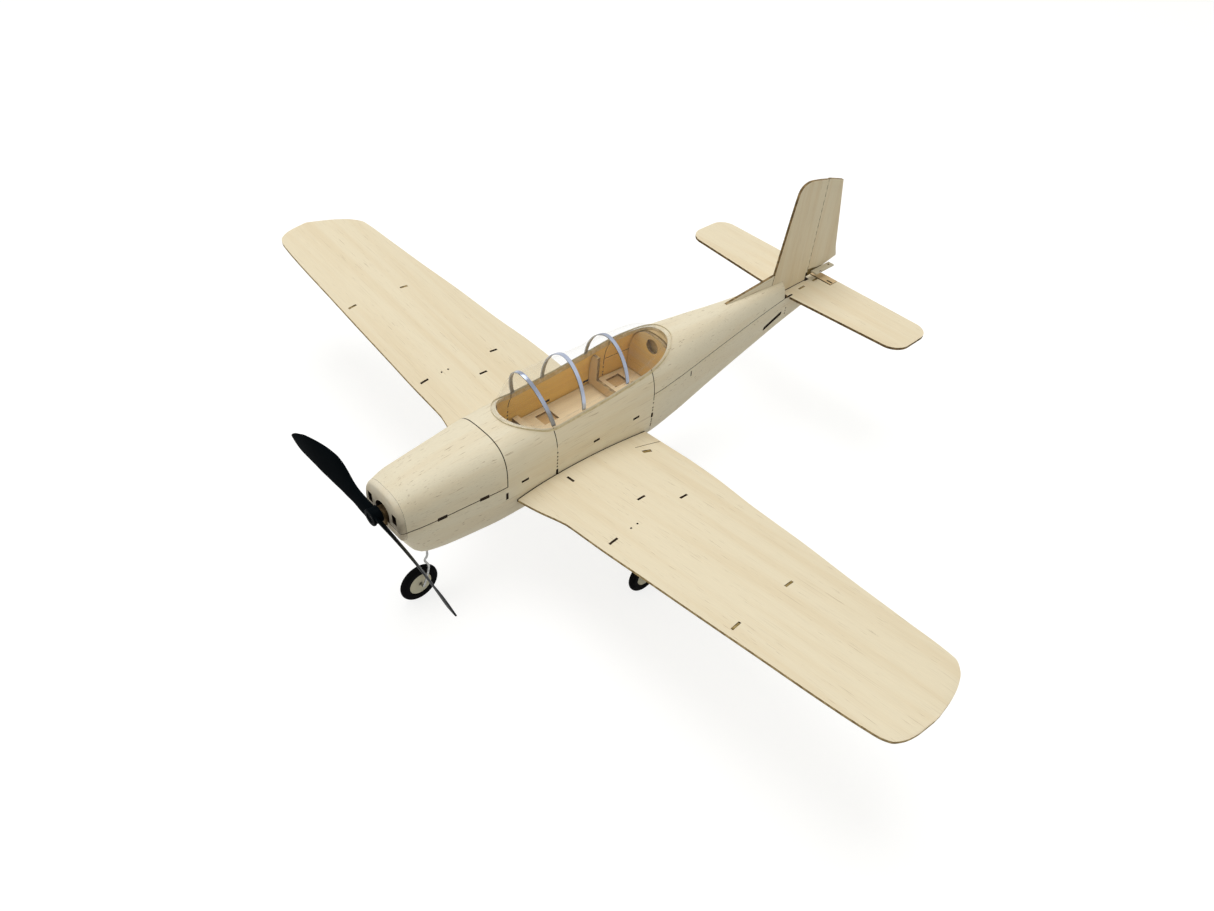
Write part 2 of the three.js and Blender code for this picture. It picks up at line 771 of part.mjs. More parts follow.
const bayFrontY = firewallY + formerWood + touchGap;
const bayRearY = hatchFormerY - touchGap;
addInnerWood('bay_floor', hullRoom.intersect(
  block(-wide, wide, bayFrontY, bayRearY, baySheetZ, baySheetZ + skinWood)));
const floorHoleRun = (total, y) => {
  const hole = block(
    floorHoleInnerX, floorHoleOuterX, y, y + floorHoleLength, floorZ - cutOver, floorZ + cutOver);
  return total.subtract(hole).subtract(hole.mirror([1, 0, 0]));
};
const floorFrontY = cockpitFrontFormerY + formerWood + touchGap;
const floorRearY = cockpitRearFormerY - touchGap;
const cockpitFloor = hullRoom.intersect(block(-wide, wide, floorFrontY, floorRearY, floorZ, floorTopZ));
addInnerWood('cockpit_floor', floorHoleY.reduce(floorHoleRun, cockpitFloor));
const barFootZ = floorTopZ + touchGap;
floorBarY.forEach((y, i) => {
  const bar = block(-wide, wide, y, y + floorBarWidth, barFootZ, barFootZ + floorBarHeight);
  addInnerWood(`floor_bar_${i + 1}`, hullRoom.intersect(bar));
});

// Canopy and its hoops
function canopySolid(grow) {
  const rings = canopyShares.map(([along, width, height]) => superRing(canopySides, (c, s) => {
    const x = bulge(c, canopyPower) * (canopyHalfWidth * width + grow);
    const rise = s > 0 ? canopyHeight * height + grow : cutOver;
    const y = canopyFrontY - grow + along * (canopyLength + grow * 2);
    return at(x, y, canopyBaseZ + bulge(s, canopyPower) * rise);
  }));
  return loftSolid(rings);
}

const canopyShell = canopySolid(0).subtract(canopySolid(-canopyWall));
const flangeSkin = hullSolid(-touchGap - canopyWall, hullFront, hullRear).subtract(hullGrown);
const flange = flangeSkin
  .intersect(sheetZ(cockpitOutline(flangeReach), openingFloorZ, high))
  .subtract(canopySolid(-canopyWall));
addMesh('canopy', canopyShell.add(flange).subtract(hullGrown), clearFilm, 0.08, 0, 0.25);
const hoopShell = canopySolid(touchGap + hoopThickness).subtract(canopySolid(touchGap));
const flangeRoom = hullSolid(-touchGap * 2 - canopyWall, hullFront, hullRear);
const hoopHeadZ = canopyBaseZ + canopyHeight + cutOver;
hoopPlaces.forEach(([y, lean], i) => {
  const lower = (lean * (canopyBaseZ - crutchZ)) / canopyHeight;
  const upper = (lean * (hoopHeadZ - canopyBaseZ)) / canopyHeight;
  const half = hoopWidth / 2;
  const slab = sheetX([
    [y + lower - half, crutchZ],
    [y + lower + half, crutchZ],
    [y - upper + half, hoopHeadZ],
    [y - upper - half, hoopHeadZ],
  ], -wide, wide);
  addMesh(`canopy_hoop_${i + 1}`, hoopShell.intersect(slab).subtract(flangeRoom), silver, 0.35, 0.6);
});

// Wings
[[1, 'port'], [-1, 'starboard']].forEach(([side, label]) => {
  const cutAt = ([x, y], halfX, halfY) => block(
    side * x - halfX, side * x + halfX, y - halfY, y + halfY, 0, wingRefZ * 2);
  const alongSlots = [
    ...innerSlotY.map((y) => [innerRibX, y]),
    ...outerSlotY.map((y) => [outerRibX, y]),
    [gearSlotX, gearSlotY],
  ];
  const cuts = [
    ...alongSlots.map((place) => cutAt(place, slotWidth / 2, slotLength / 2)),
    ...spanSlots.map((place) => cutAt(place, slotLength / 2, slotWidth / 2)),
  ];
  const sheet = cuts.reduce((total, cut) => total.subtract(cut), wingSheet(side).subtract(hullGrown));
  addWood(`wing_skin_${label}`, sheet);
  const spar = sparSolid(side, 0).subtract(hullGrown);
  const sparHole = sparSolid(side, touchGap);
  addInnerWood(`wing_spar_${label}`, spar);
  const rootRib = ribSolid(rootRibX, side, rootRibDepth).subtract(hullGrown);
  addInnerWood(`root_rib_${label}`, rootRib.subtract(sparHole).subtract(braceHole));
  addInnerWood(`inner_rib_${label}`, ribSolid(innerRibX, side, ribDepth).subtract(sparHole));
  addInnerWood(`outer_rib_${label}`, ribSolid(outerRibX, side, ribDepth).subtract(sparHole));
});
addInnerWood('wing_brace', brace);

// Tail surfaces
const stabBottomZ = rearSeamRearZ + halfGap;
const stabTopZ = stabBottomZ + tailWood;

function stabOutline() {
  const right = [[0, stabFrontY], [stabHalfSpan - stabTipFront, stabFrontY + stabSweep]];
  for (let i = 1; i <= stabArcSteps; i += 1) {
    const angle = (i / stabArcSteps) * (Math.PI / 2);
    const x = stabHalfSpan - stabTipFront * (1 - Math.sin(angle));
    right.push([x, stabFrontY + stabSweep + stabTipFront * (1 - Math.cos(angle))]);
  }
  for (let i = 0; i <= stabArcSteps; i += 1) {
    const angle = (i / stabArcSteps) * (Math.PI / 2);
    const x = stabHalfSpan - stabTipRear * (1 - Math.cos(angle));
    right.push([x, stabRearY - stabTipRear * (1 - Math.sin(angle))]);
  }
  right.push([tabHalfWidth, stabRearY], [tabHalfWidth, tabHingeY - tabGap / 2]);
  const left = right.slice(1).reverse().map(([x, y]) => [-x, y]);
  return [...right, ...left];
}

addWood('stabiliser', sheetZ(stabOutline(), stabBottomZ, stabTopZ));
const tabFrontY = tabHingeY + tabGap / 2;
const tabSide = tabHalfWidth - touchGap;
const tabSlot = block(
  tabSlotX - tabSlotLength / 2, tabSlotX + tabSlotLength / 2,
  tabFrontY + skinWood, tabFrontY + skinWood + slotWidth, stabBottomZ - cutOver, stabTopZ + cutOver);
const tab = block(-tabSide, tabSide, tabFrontY, stabRearY, stabBottomZ, stabTopZ);
addMesh('trim_tab', tab.subtract(tabSlot), plywood, 0.7);

const finPoint = ([along, down]) => [finFrontY + along * finChord, finTopZ - down * finHeight];
const finZ = (down) => finTopZ - down * finHeight;
const finRearY = rudderHingeY - rudderGap / 2;
const finFootZ = stabTopZ + touchGap;
const finOutline = [
  [finFrontY, finFootZ],
  ...finTopShares.map(finPoint),
  [finRearY, finZ(hingeTopShare)],
  [finRearY, finFootZ],
];
const sheetMiddle = (points) => sheetX(points, -tailWood / 2, tailWood / 2);
const deckGrown = hullGrown.intersect(slabY(hullFront, deckEndY + touchGap));
addWood('fin', sheetMiddle(finOutline).subtract(deckGrown));
const rudderFrontY = rudderHingeY + rudderGap / 2;
const rudderOutline = [
  [rudderFrontY, finZ(rudderFootShare)],
  [rudderFrontY, finZ(hingeTopShare)],
  ...rudderShares.map(finPoint),
];
addWood('rudder', sheetMiddle(rudderOutline));
const hornX = tailWood / 2 + touchGap;
const hornRearY = hornFrontY + hornLength;
const horn = block(hornX, hornX + hornWidth, hornFrontY, hornRearY, hornZ, hornZ + hornThickness);
addMesh('rudder_horn', horn, nylon, 0.5);
const dorsalFootZ = crutchZ + deckRise / 2;
const dorsalOutline = [
  [dorsalFrontY, dorsalFrontZ],
  [dorsalRearY, dorsalRearZ],
  [dorsalRearY, dorsalFootZ],
  [dorsalFrontY, dorsalFootZ],
];
addWood('dorsal_fin', sheetMiddle(dorsalOutline).subtract(hullGrown));

// Wheels, each a tyre on a wooden hub
function wheel(name, x, y) {
  const half = tyreWidth / 2;
  const tread = tyreTread / 2;
  const inner = rimRadius + touchGap;
  const bore = wireRadius + touchGap;
  const shoulder = tyreRadius - (half - tread) / 2;
  const wall = (inner + shoulder) / 2;
  const tyreProfile = [
    [inner, -hubWidth / 2],
    [inner, hubWidth / 2],
    [wall, half],
    [shoulder, (half + tread) / 2],
    [tyreRadius, tread],
    [tyreRadius, -tread],
    [shoulder, -(half + tread) / 2],
    [wall, -half],
    [inner, -hubWidth / 2],
  ];
  const hubProfile = [
    [bore, -hubWidth / 2],
    [bore, hubWidth / 2],
    [rimRadius, hubWidth / 2],
    [rimRadius, -hubWidth / 2],
    [bore, -hubWidth / 2],
  ];
  const turned = (profile) => {
    const points = profile.map(([r, a]) => new THREE.Vector2(r, a));
    const geometry = new THREE.LatheGeometry(points, wheelSegments);
    geometry.rotateY(Math.PI / wheelSegments);
    geometry.rotateZ(Math.PI / 2);
    geometry.translate(x, y, axleZ);
    return solidOf(geometry);
  };
  addMesh(`${name}_tyre`, turned(tyreProfile), black, 0.85);
  addMesh(`${name}_hub`, turned(hubProfile), balsaShade, 0.7);
}

wheel('nose_wheel', 0, noseWheelY);
wheel('main_wheel_port', mainWheelX, mainWheelY);
wheel('main_wheel_starboard', -mainWheelX, mainWheelY);

// Wire legs: down from the airframe, then across as the axle, with a collar outside the hub
const axleEnd = hubWidth / 2 + touchGap + collarWidth;
const collar = (x, y) => rodX(collarRadius, x, x + collarWidth, y, axleZ, wireSides * 2);
const kneeDrop = wireRadius * kneeShare;
const noseWire = wireSolid([
  at(legSide, noseLegY, noseWireTopZ),
  at(legSide, noseLegY, noseWireTopZ - deckRise / 2),
  at(legSide, noseLegY, axleZ * 2 + tyreRadius),
  at(legSide, noseLegY - wireRadius * 2, axleZ + tyreRadius * noseBendShares[0]),
  at(legSide, noseLegY + wireRadius / 2, axleZ + tyreRadius * noseBendShares[1]),
  at(legSide, (noseLegY + noseWheelY) / 2, axleZ + tyreRadius * noseBendShares[2]),
  at(legSide, noseWheelY, axleZ + kneeDrop),
  at(legSide - wireRadius, noseWheelY, axleZ + wireRadius / 2),
  at(legSide - kneeDrop, noseWheelY, axleZ),
  at(0, noseWheelY, axleZ),
  at(-axleEnd - wireRadius, noseWheelY, axleZ),
]);
addMesh('nose_gear_wire', noseWire.add(collar(-axleEnd, noseWheelY)), steel, 0.35, 0.9);
[[1, 'port'], [-1, 'starboard']].forEach(([side, label]) => {
  const topZ = underWing(mainLegX, gearSlotY) - wireRadius - touchGap;
  const footZ = underWing(mainLegX, gearSlotY + mainWireFoot) - wireRadius - touchGap;
  const wire = wireSolid([
    at(side * mainLegX, gearSlotY - mainWireFoot, topZ),
    at(side * mainLegX, gearSlotY, Math.min(topZ, footZ)),
    at(side * mainLegX, gearSlotY + kneeDrop, topZ - kneeDrop),
    at(side * mainLegX, (gearSlotY + mainWheelY) / 2 + kneeDrop / 2, (topZ + axleZ) / 2),
    at(side * mainLegX, mainWheelY, axleZ + kneeDrop),
    at(side * (mainLegX + wireRadius), mainWheelY, axleZ + wireRadius / 2),
    at(side * (mainLegX + kneeDrop), mainWheelY, axleZ),
    at(side * mainWheelX, mainWheelY, axleZ),
    at(side * (mainWheelX + axleEnd + wireRadius), mainWheelY, axleZ),
  ]);
  const collarX = side > 0 ? mainWheelX + axleEnd - collarWidth : -mainWheelX - axleEnd;
  addMesh(`main_gear_wire_${label}`, wire.add(collar(collarX, mainWheelY)), steel, 0.35, 0.9);
});

// Propeller, its shaft and hook, and the rubber loop
const shaftBore = wireRadius + touchGap;

function blade() {
  const rings = bladeShares.map(([along, chord, shift, thickness, degrees]) => {
    const twist = THREE.MathUtils.degToRad(degrees);
    const across = at(0, -Math.sin(twist), Math.cos(twist));
    const normal = at(0, Math.cos(twist), Math.sin(twist));
    const forward = propRake * along ** rakePower;
    return superRing(bladeSides, (c, s) => at(along * propRadius, -forward, 0)
      .addScaledVector(across, ((c * chord) / 2 - shift) * propChord)
      .addScaledVector(normal, (s * thickness * propThickness) / 2));
  });
  return loftSolid(rings);
}

const hubBarrel = new THREE.LatheGeometry([
  new THREE.Vector2(shaftBore, hubFrontY),
  new THREE.Vector2(hubRadius - shaftBore, hubFrontY),
  new THREE.Vector2(hubRadius, hubFrontY + shaftBore),
  new THREE.Vector2(hubRadius, hubRearY),
  new THREE.Vector2(shaftBore, hubRearY),
  new THREE.Vector2(shaftBore, hubFrontY),
], hubSegments);
const bladePair = blade()
  .add(blade().mirror([1, 0, 0]).mirror([0, 0, 1]))
  .rotate([0, propRestAngle, 0])
  .translate([0, bladeRootY, 0]);
const bladeFrontY = hubFrontY - propRadius;
const outerRoom = block(bladeSweepX, propRadius, bladeFrontY, noseFaceY - touchGap, -propRadius, propRadius);
const bladeRoom = block(-propRadius, propRadius, bladeFrontY, hubRearY, -propRadius, propRadius)
  .add(outerRoom)
  .add(outerRoom.mirror([1, 0, 0]));
const propeller = solidOf(hubBarrel)
  .add(bladePair.intersect(bladeRoom))
  .subtract(rodY(shaftBore, hubFrontY - cutOver, hubRearY + cutOver, 0, 0));
addMesh('propeller', propeller.translate([0, 0, thrustZ]), black, 0.3);
const shaftHole = rodY(shaftBore, hubFrontY, bearingRearY + cutOver, 0, thrustZ);
const washerFrontY = hubRearY + halfGap;
const washer = rodY(washerRadius, washerFrontY, washerFrontY + washerThickness, 0, thrustZ);
addMesh('thrust_washer', washer.subtract(shaftHole), steel, 0.3, 0.9);
addMesh('nose_bearing', bearing.subtract(shaftHole), nylon, 0.45);

const hookMiddleY = hookStartY + hookRadius + kneeDrop;
const hookPoints = [
  at(0, hubFrontY + wireRadius, thrustZ),
  at(0, (hubFrontY + hookStartY) / 2, thrustZ),
  at(0, hookStartY, thrustZ),
];
const hookTurn = [120, 80, 40, 0, -40, -80, -120, -145];
hookTurn.forEach((degrees) => {
  const angle = THREE.MathUtils.degToRad(degrees);
  const y = hookMiddleY + hookRadius * Math.cos(angle);
  hookPoints.push(at(0, y, thrustZ + hookRadius * Math.sin(angle)));
});
addMesh('prop_shaft', wireSolid(hookPoints), steel, 0.3, 0.9);
const pegFootZ = baySheetZ + skinWood + touchGap;
const peg = new THREE.CylinderGeometry(pegRadius, pegRadius, pegTopZ - pegFootZ, hubSegments);
peg.rotateX(Math.PI / 2);
peg.translate(0, pegY, (pegTopZ + pegFootZ) / 2);
addInnerWood('motor_peg', solidOf(peg));

const weightFrontY = bayFrontY + touchGap;
const weight = block(
  -weightHalfWidth, weightHalfWidth, weightFrontY, weightFrontY + weightLength,
  pegFootZ, pegFootZ + weightHeight);
addMesh('nose_weight', weight, iron, 0.5, 0.8);

function rubberLoop() {
  const frontY = hookMiddleY + hookRadius;
  const frontReach = wireRadius + touchGap + strandRadius;
  const rearReach = pegRadius + touchGap + strandRadius;
  const path = [];
  const addTurn = (start, middleY, reach) => {
    for (let i = 0; i <= loopSteps; i += 1) {
      const angle = start + (i / loopSteps) * Math.PI;
      const [outX, outY] = [Math.cos(angle), Math.sin(angle)];
      path.push([reach * outX, middleY + reach * outY, outX, outY]);
    }
  };
  addTurn(Math.PI, frontY, frontReach);
  addTurn(0, pegY, rearReach);
  const rings = path.map(([x, y, outX, outY]) => superRing(strandSides, (c, s) =>
    at(x + c * strandRadius * outX, y + c * strandRadius * outY, thrustZ + s * strandRadius)));
  return loftSolid(rings, true);
}

addMesh('rubber_motor', rubberLoop(), rubberBrown, 0.6);

export default group;
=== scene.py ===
"""Rubber band plane: the looks of a sheet-balsa model aeroplane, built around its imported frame."""
import math

import bmesh
import bpy
from bpy.props import FloatProperty, FloatVectorProperty, IntProperty, PointerProperty
from mathutils import Matrix, Vector


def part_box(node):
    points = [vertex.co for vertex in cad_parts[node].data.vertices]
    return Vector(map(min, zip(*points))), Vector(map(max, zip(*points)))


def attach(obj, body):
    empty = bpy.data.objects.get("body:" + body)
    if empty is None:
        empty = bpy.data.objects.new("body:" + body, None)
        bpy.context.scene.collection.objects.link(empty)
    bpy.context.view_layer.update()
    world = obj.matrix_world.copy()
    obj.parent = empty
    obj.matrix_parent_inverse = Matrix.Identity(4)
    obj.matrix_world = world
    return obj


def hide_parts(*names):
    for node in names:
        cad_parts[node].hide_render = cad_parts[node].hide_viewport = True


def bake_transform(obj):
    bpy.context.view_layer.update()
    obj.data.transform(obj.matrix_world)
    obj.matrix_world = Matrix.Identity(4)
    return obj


bl_info = {
    "name": "Rubber band plane",
    "version": (1, 0, 0),
    "blender": (4, 5, 0),
    "location": "3D view > Sidebar > Plane",
    "description": "Builds a sheet-balsa model aeroplane around its fixed frame",
    "category": "Object",
}

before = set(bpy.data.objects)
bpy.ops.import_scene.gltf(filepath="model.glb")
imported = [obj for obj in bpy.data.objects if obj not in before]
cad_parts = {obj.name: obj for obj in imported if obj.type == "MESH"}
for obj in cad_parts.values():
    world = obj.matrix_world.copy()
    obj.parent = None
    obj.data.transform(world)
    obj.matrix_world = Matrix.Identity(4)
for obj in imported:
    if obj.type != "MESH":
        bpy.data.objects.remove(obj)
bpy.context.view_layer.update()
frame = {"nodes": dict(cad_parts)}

# Sizes are in millimetres, from the frame's origin under the plane; a mesh is scaled as it is made
MM = 0.001

# The least half size of a section, also how far a tool reaches past a face that it shares
TOUCH = 0.3

# How far a cutting tool reaches past the plane: to each side, down and up
WIDE, FLOOR_Z, HIGH_Z = 40, 20, 100

# The thickness of the hull's sheet wood
SKIN = 1.2

# The sign of X on each side of the plane, and its name
SIDES = ((1, "port"), (-1, "starboard"))

# The hull: rows of along, width, rise, depth, and the roundness above and below the crutch line
HULL_FRONT, HULL_REAR = -133.35, 121.0
HULL_HALF_WIDTH, CRUTCH_Z, DECK_RISE, BELLY_DEPTH = 17.1, 56.5, 23.5, 24.0
HULL_ROWS = (
    (0, 0.731, 0.6128, 0.3, 2.9, 3.2),
    (0.0092, 0.7544, 0.6468, 0.55, 2.95, 3.3),
    (0.025, 0.7953, 0.6936, 0.8208, 2.9, 3.2),
    (0.0446, 0.8304, 0.709, 0.9292, 2.85, 3.1),
    (0.0721, 0.8655, 0.7383, 0.975, 2.85, 3.3),
    (0.1115, 0.9123, 0.77, 0.9917, 2.9, 3.6),
    (0.1736, 0.9883, 0.805, 0.9875, 3.05, 4),
    (0.2255, 0.9942, 0.8426, 0.9792, 2.95, 4.2),
    (0.275, 1, 0.8553, 0.9708, 2.6, 4.4),
    (0.367, 1, 0.8936, 0.9542, 2.6, 4.5),
    (0.4339, 1, 0.9447, 0.9125, 2.65, 4.8),
    (0.4936, 0.9942, 0.9915, 0.8542, 2.75, 5),
    (0.5636, 0.9064, 0.966, 0.7625, 2.65, 5.5),
    (0.6422, 0.7544, 0.8979, 0.6458, 2.6, 6),
    (0.7405, 0.5673, 0.8, 0.5208, 2.4, 6),
    (0.8388, 0.386, 0.7191, 0.4125, 2.3, 6),
    (0.9096, 0.2749, 0.6511, 0.3208, 2.2, 6),
    (1, 0.1637, 0.5745, 0.2042, 2.2, 6),
)
HATCH_REAR_Y, FRONT_JOINT_Y, REAR_JOINT_Y = -89.2, -63.4, -7.8
SEAM_FRONT_Z, SEAM_REAR_Z, DECK_END_Y = 62.6, 63.6, 97.5
SIDE_CUTS = (
    (-118.7, 56.5, 4.2, 1.7),
    (-99.9, 56.5, 4.2, 1.7),
    (-89.4, 51.5, 1.2, 3.6),
    (-80.3, 54.9, 3.7, 1.2),
    (-41.5, 54.9, 3.4, 1.2),
    (-18.1, 54.9, 3.7, 1.2),
)

# The canopy: rows of along, half width and height
CANOPY_BASE_Z, CANOPY_HEIGHT, CANOPY_HALF_WIDTH = 71.3, 21.1, 13.1
CANOPY_FRONT_Y, CANOPY_REAR_Y, CANOPY_WALL = -80.6, 14.2, 0.6
CANOPY_ROWS = (
    (0, 0.14, 0.3),
    (0.038, 0.6, 0.66),
    (0.0802, 0.8, 0.84),
    (0.1224, 0.92, 1),
    (0.1751, 0.98, 0.99),
    (0.2595, 1, 0.965),
    (0.3544, 1, 0.95),
    (0.4916, 1, 0.91),
    (0.6181, 1, 0.9),
    (0.7236, 0.98, 0.885),
    (0.808, 0.9, 0.85),
    (0.8819, 0.74, 0.71),
    (0.9451, 0.52, 0.5),
    (1, 0.2, 0.3),
)
HOOPS = ((-62.5, 5.9), (-46.6, 0.0), (-21.8, 0.6))

# The opening under it, with two rounded ends: start angle, centre along Y and length
COCKPIT_HALF_WIDTH, COCKPIT_ENDS = 13.6, ((0, -14, 25), (math.pi, -59.5, 19))

# The wing: rows of station, leading edge and trailing edge
HALF_SPAN, WING_FRONT_Y, ROOT_CHORD, WING_REF_X, WING_REF_Z = 190.6, -84.6, 73.4, 62.3, 53.9
WING_ROWS = (
    (0.0787, 0, 1),
    (0.1207, 0.0136, 0.9973),
    (0.1574, 0.03, 0.9932),
    (0.1941, 0.0518, 0.9891),
    (0.2256, 0.0654, 0.9864),
    (0.32, 0.0681, 0.9673),
    (0.4407, 0.0777, 0.9223),
    (0.5876, 0.0886, 0.8815),
    (0.7135, 0.0995, 0.8351),
    (0.8395, 0.109, 0.7956),
    (0.9496, 0.1267, 0.7561),
    (0.9732, 0.1444, 0.6962),
    (0.9864, 0.1853, 0.6144),
    (0.9948, 0.2466, 0.5191),
    (1, 0.3542, 0.3978),
)

# The wing's camber: where along the chord it is highest, and its bend before and behind that
CREST, FRONT_BEND, REAR_BEND = 0.3, 0.308, 0.1445

# How much the wing rises for each millimetre outwards
DIHEDRAL = 0.12

# Wing slots: middle X and Y, then length along X and along Y
WING_SLOTS = (
    (62.4, -74, 1.1, 4.2),
    (62.4, -35, 1.1, 4.2),
    (52, -48.9, 1.1, 4.2),
    (23.7, -61.7, 4.2, 1.1),
)
# The same for the slots with a pale tab in them
TAB_SLOTS = (
    (122.5, -72.9, 1.1, 4.2),
    (122.5, -43.9, 1.1, 4.2),
)

# Propeller blade: rows of radius, chord, shift towards the trailing edge, thickness and twist in degrees
PROP_RADIUS, PROP_CHORD, PROP_THICKNESS, THRUST_Z = 54.8, 13.3, 1.7, 59.7
BLADE_ROWS = (
    (0.03, 0.46, 0, 1, 29),
    (0.1, 0.46, 0, 0.95, 29),
    (0.2, 0.46, 0.02, 0.8, 28),
    (0.28, 0.53, 0.045, 0.7, 27),
    (0.385, 0.70, 0.12, 0.65, 25),
    (0.45, 0.80, 0.155, 0.6, 24),
    (0.52, 0.855, 0.175, 0.57, 23),
    (0.59, 0.855, 0.165, 0.55, 22),
    (0.69, 0.81, 0.145, 0.5, 19),
    (0.858, 0.66, 0.07, 0.45, 13),
    (0.93, 0.45, 0.03, 0.42, 12),
    (0.97, 0.29, 0.02, 0.4, 12),
    (1, 0.1, 0, 0.35, 12),
)

# The flat face of the nose blocks, behind the propeller
NOSE_FACE_Y = -135.6


def tint(name, description, default):
    """A colour that the user can change."""
    return FloatVectorProperty(
        name=name, description=description, subtype="COLOR", size=3, min=0, max=1, default=default)


class WoodSettings(bpy.types.PropertyGroup):
    """Colours of the sheet wood"""
    skin: tint("Skin", "Pale wood of the hull's skins", (0.790, 0.715, 0.560))
    sheet: tint("Sheet", "Pale wood of the wing and tail sheets", (0.800, 0.705, 0.530))
    band: tint("Band", "Warm bands that run with the grain", (0.700, 0.550, 0.345))
    fleck: tint("Fleck", "Short dark pores in the grain", (0.300, 0.190, 0.090))
    inner: tint("Inner", "Wood of the formers, floors and ribs", (0.780, 0.610, 0.380))
    lining: tint("Lining", "Inner side of the hull's skins", (0.930, 0.640, 0.180))
    char: tint("Char", "Burnt edge left by the cutting beam", (0.014, 0.009, 0.006))
    rim: tint("Rim", "Scorched outer edge of a sheet", (0.110, 0.072, 0.032))


class FittingSettings(bpy.types.PropertyGroup):
    """Colours of the fittings"""
    film: tint("Film", "Clear canopy film", (0.66, 0.68, 0.66))
    film_alpha: FloatProperty(
        name="Film veil", description="How much the film veils what is behind it",
        subtype="FACTOR", min=0, max=1, default=0.035)
    # Painted reflection: the hoop's blue tint stands in for the bluish surroundings that the silver reflects
    hoop: tint("Hoop", "Silver strip over the canopy", (0.47, 0.52, 0.64))
    propeller: tint("Propeller", "Moulded black plastic", (0.0018, 0.0030, 0.0040))
    tyre: tint("Tyre", "Black foam of the tyres", (0.0045, 0.0045, 0.0050))
    wire: tint("Wire", "Spring steel wire", (0.42, 0.42, 0.41))
    rubber: tint("Rubber", "Tan rubber strip of the motor", (0.42, 0.25, 0.10))


class BuildSettings(bpy.types.PropertyGroup):
    """Sizes of the cuts and the fineness of the curved pieces"""
    skin_sides: IntProperty(
        name="Skin sides", description="Points round each hull section", min=32, max=256, default=112)
    ring_step: FloatProperty(
        name="Ring step", description="Distance between hull sections", unit="LENGTH",
        min=0.001, max=0.01, default=0.0024, precision=5)
    seam: FloatProperty(
        name="Seam", description="Open seam between two skins", unit="LENGTH",
        min=0.00005, max=0.001, default=0.0003, precision=5)
    stage_light: FloatProperty(
        name="Stage light", description="Strength of the even light around the plane",
        min=0, max=2, default=0.42)


class PlaneSettings(bpy.types.PropertyGroup):
    """All the settings of the plane"""
    wood: PointerProperty(type=WoodSettings)
    fitting: PointerProperty(type=FittingSettings)
    build: PointerProperty(type=BuildSettings)


def settings():
    return bpy.context.scene.rubber_band_plane


# ---- Reading tables and drawing sections ----

def read_smooth(rows, along):
    """Reads a table with a smooth curve through its rows that never overshoots them."""
    xs = [row[0] for row in rows]
    t = min(max(along, xs[0]), xs[-1])
    i = max(0, min(len(xs) - 2, next((k for k in range(len(xs) - 1) if t <= xs[k + 1]), len(xs) - 2)))
    step = xs[i + 1] - xs[i]
    u = (t - xs[i]) / step
    out = []
    for col in range(1, len(rows[0])):
        def secant(k):
            return (rows[k + 1][col] - rows[k][col]) / (xs[k + 1] - xs[k])

        def slope(k):
            if k == 0:
                return secant(0)
            if k == len(xs) - 1:
                return secant(k - 1)
            before, after = secant(k - 1), secant(k)
            if before * after <= 0:
                return 0.0
            return 2 * before * after / (before + after)

        y0, y1 = rows[i][col], rows[i + 1][col]
        m0, m1 = slope(i) * step, slope(i + 1) * step
        out.append(
            y0 * (1 + 2 * u) * (1 - u) ** 2 + m0 * u * (1 - u) ** 2
            + y1 * u * u * (3 - 2 * u) + m1 * u * u * (u - 1))
    return out


def bulge(value, power):
    """Bends a cosine or sine so that a circle becomes a rounded box of that power."""
    return math.copysign(abs(value) ** (2 / power), value)


def full_width(y0, y1, z0, z1):
    """The span of a tool that reaches past both sides of the plane."""
    return -WIDE, WIDE, y0, y1, z0, z1


def both_sides(x0, x1, *rest):
    """A span and its mirror image."""
    return [(x0, x1, *rest), (-x1, -x0, *rest)]


def circle(count):
    return [(math.cos(2 * math.pi * i / count), math.sin(2 * math.pi * i / count)) for i in range(count)]


def spread(start, end, step):
    """Even values from start to end, a step apart or a little less."""
    count = max(2, math.ceil(abs(end - start) / step))
    return [start + (end - start) * i / count for i in range(count + 1)]


def hull_sizes(y):
    return read_smooth(HULL_ROWS, (y - HULL_FRONT) / (HULL_REAR - HULL_FRONT))


def hull_ring(y, inset, sides):
    """The hull's section at y, moved in from its outer face."""
    width, rise, depth, top_power, low_power = hull_sizes(y)
    ring = []
    for c, s in circle(sides):
        power = top_power if s > 0 else low_power
        height = rise * DECK_RISE if s > 0 else depth * BELLY_DEPTH
        x = bulge(c, power) * max(width * HULL_HALF_WIDTH - inset, TOUCH)
        ring.append((x, y, CRUTCH_Z + bulge(s, power) * max(height - inset, TOUCH)))
    return ring


def wing_edges(x):
    lead, trail = read_smooth(WING_ROWS, abs(x) / HALF_SPAN)
    return WING_FRONT_Y + lead * ROOT_CHORD, WING_FRONT_Y + trail * ROOT_CHORD


def wing_top(x, y):
    """The height of the wing sheet's upper face."""
    lead, trail = wing_edges(x)
    chord = trail - lead
    t = (y - lead) / chord
    bend = FRONT_BEND if t < CREST else REAR_BEND
    return WING_REF_Z + DIHEDRAL * (abs(x) - WING_REF_X) - chord * bend * (t - CREST) ** 2


def cockpit_outline(margin, side_margin=0, steps=28):
    """The opening under the canopy, seen from above."""
    width = COCKPIT_HALF_WIDTH + side_margin
    points = []
    for start, centre, length in COCKPIT_ENDS:
        reach = length + margin
        for i in range(steps + 1):
            a = start + math.pi * i / steps
            points.append((width * bulge(math.cos(a), 2.2), centre + reach * bulge(math.sin(a), 2.2)))
    return points


# ---- Meshes ----

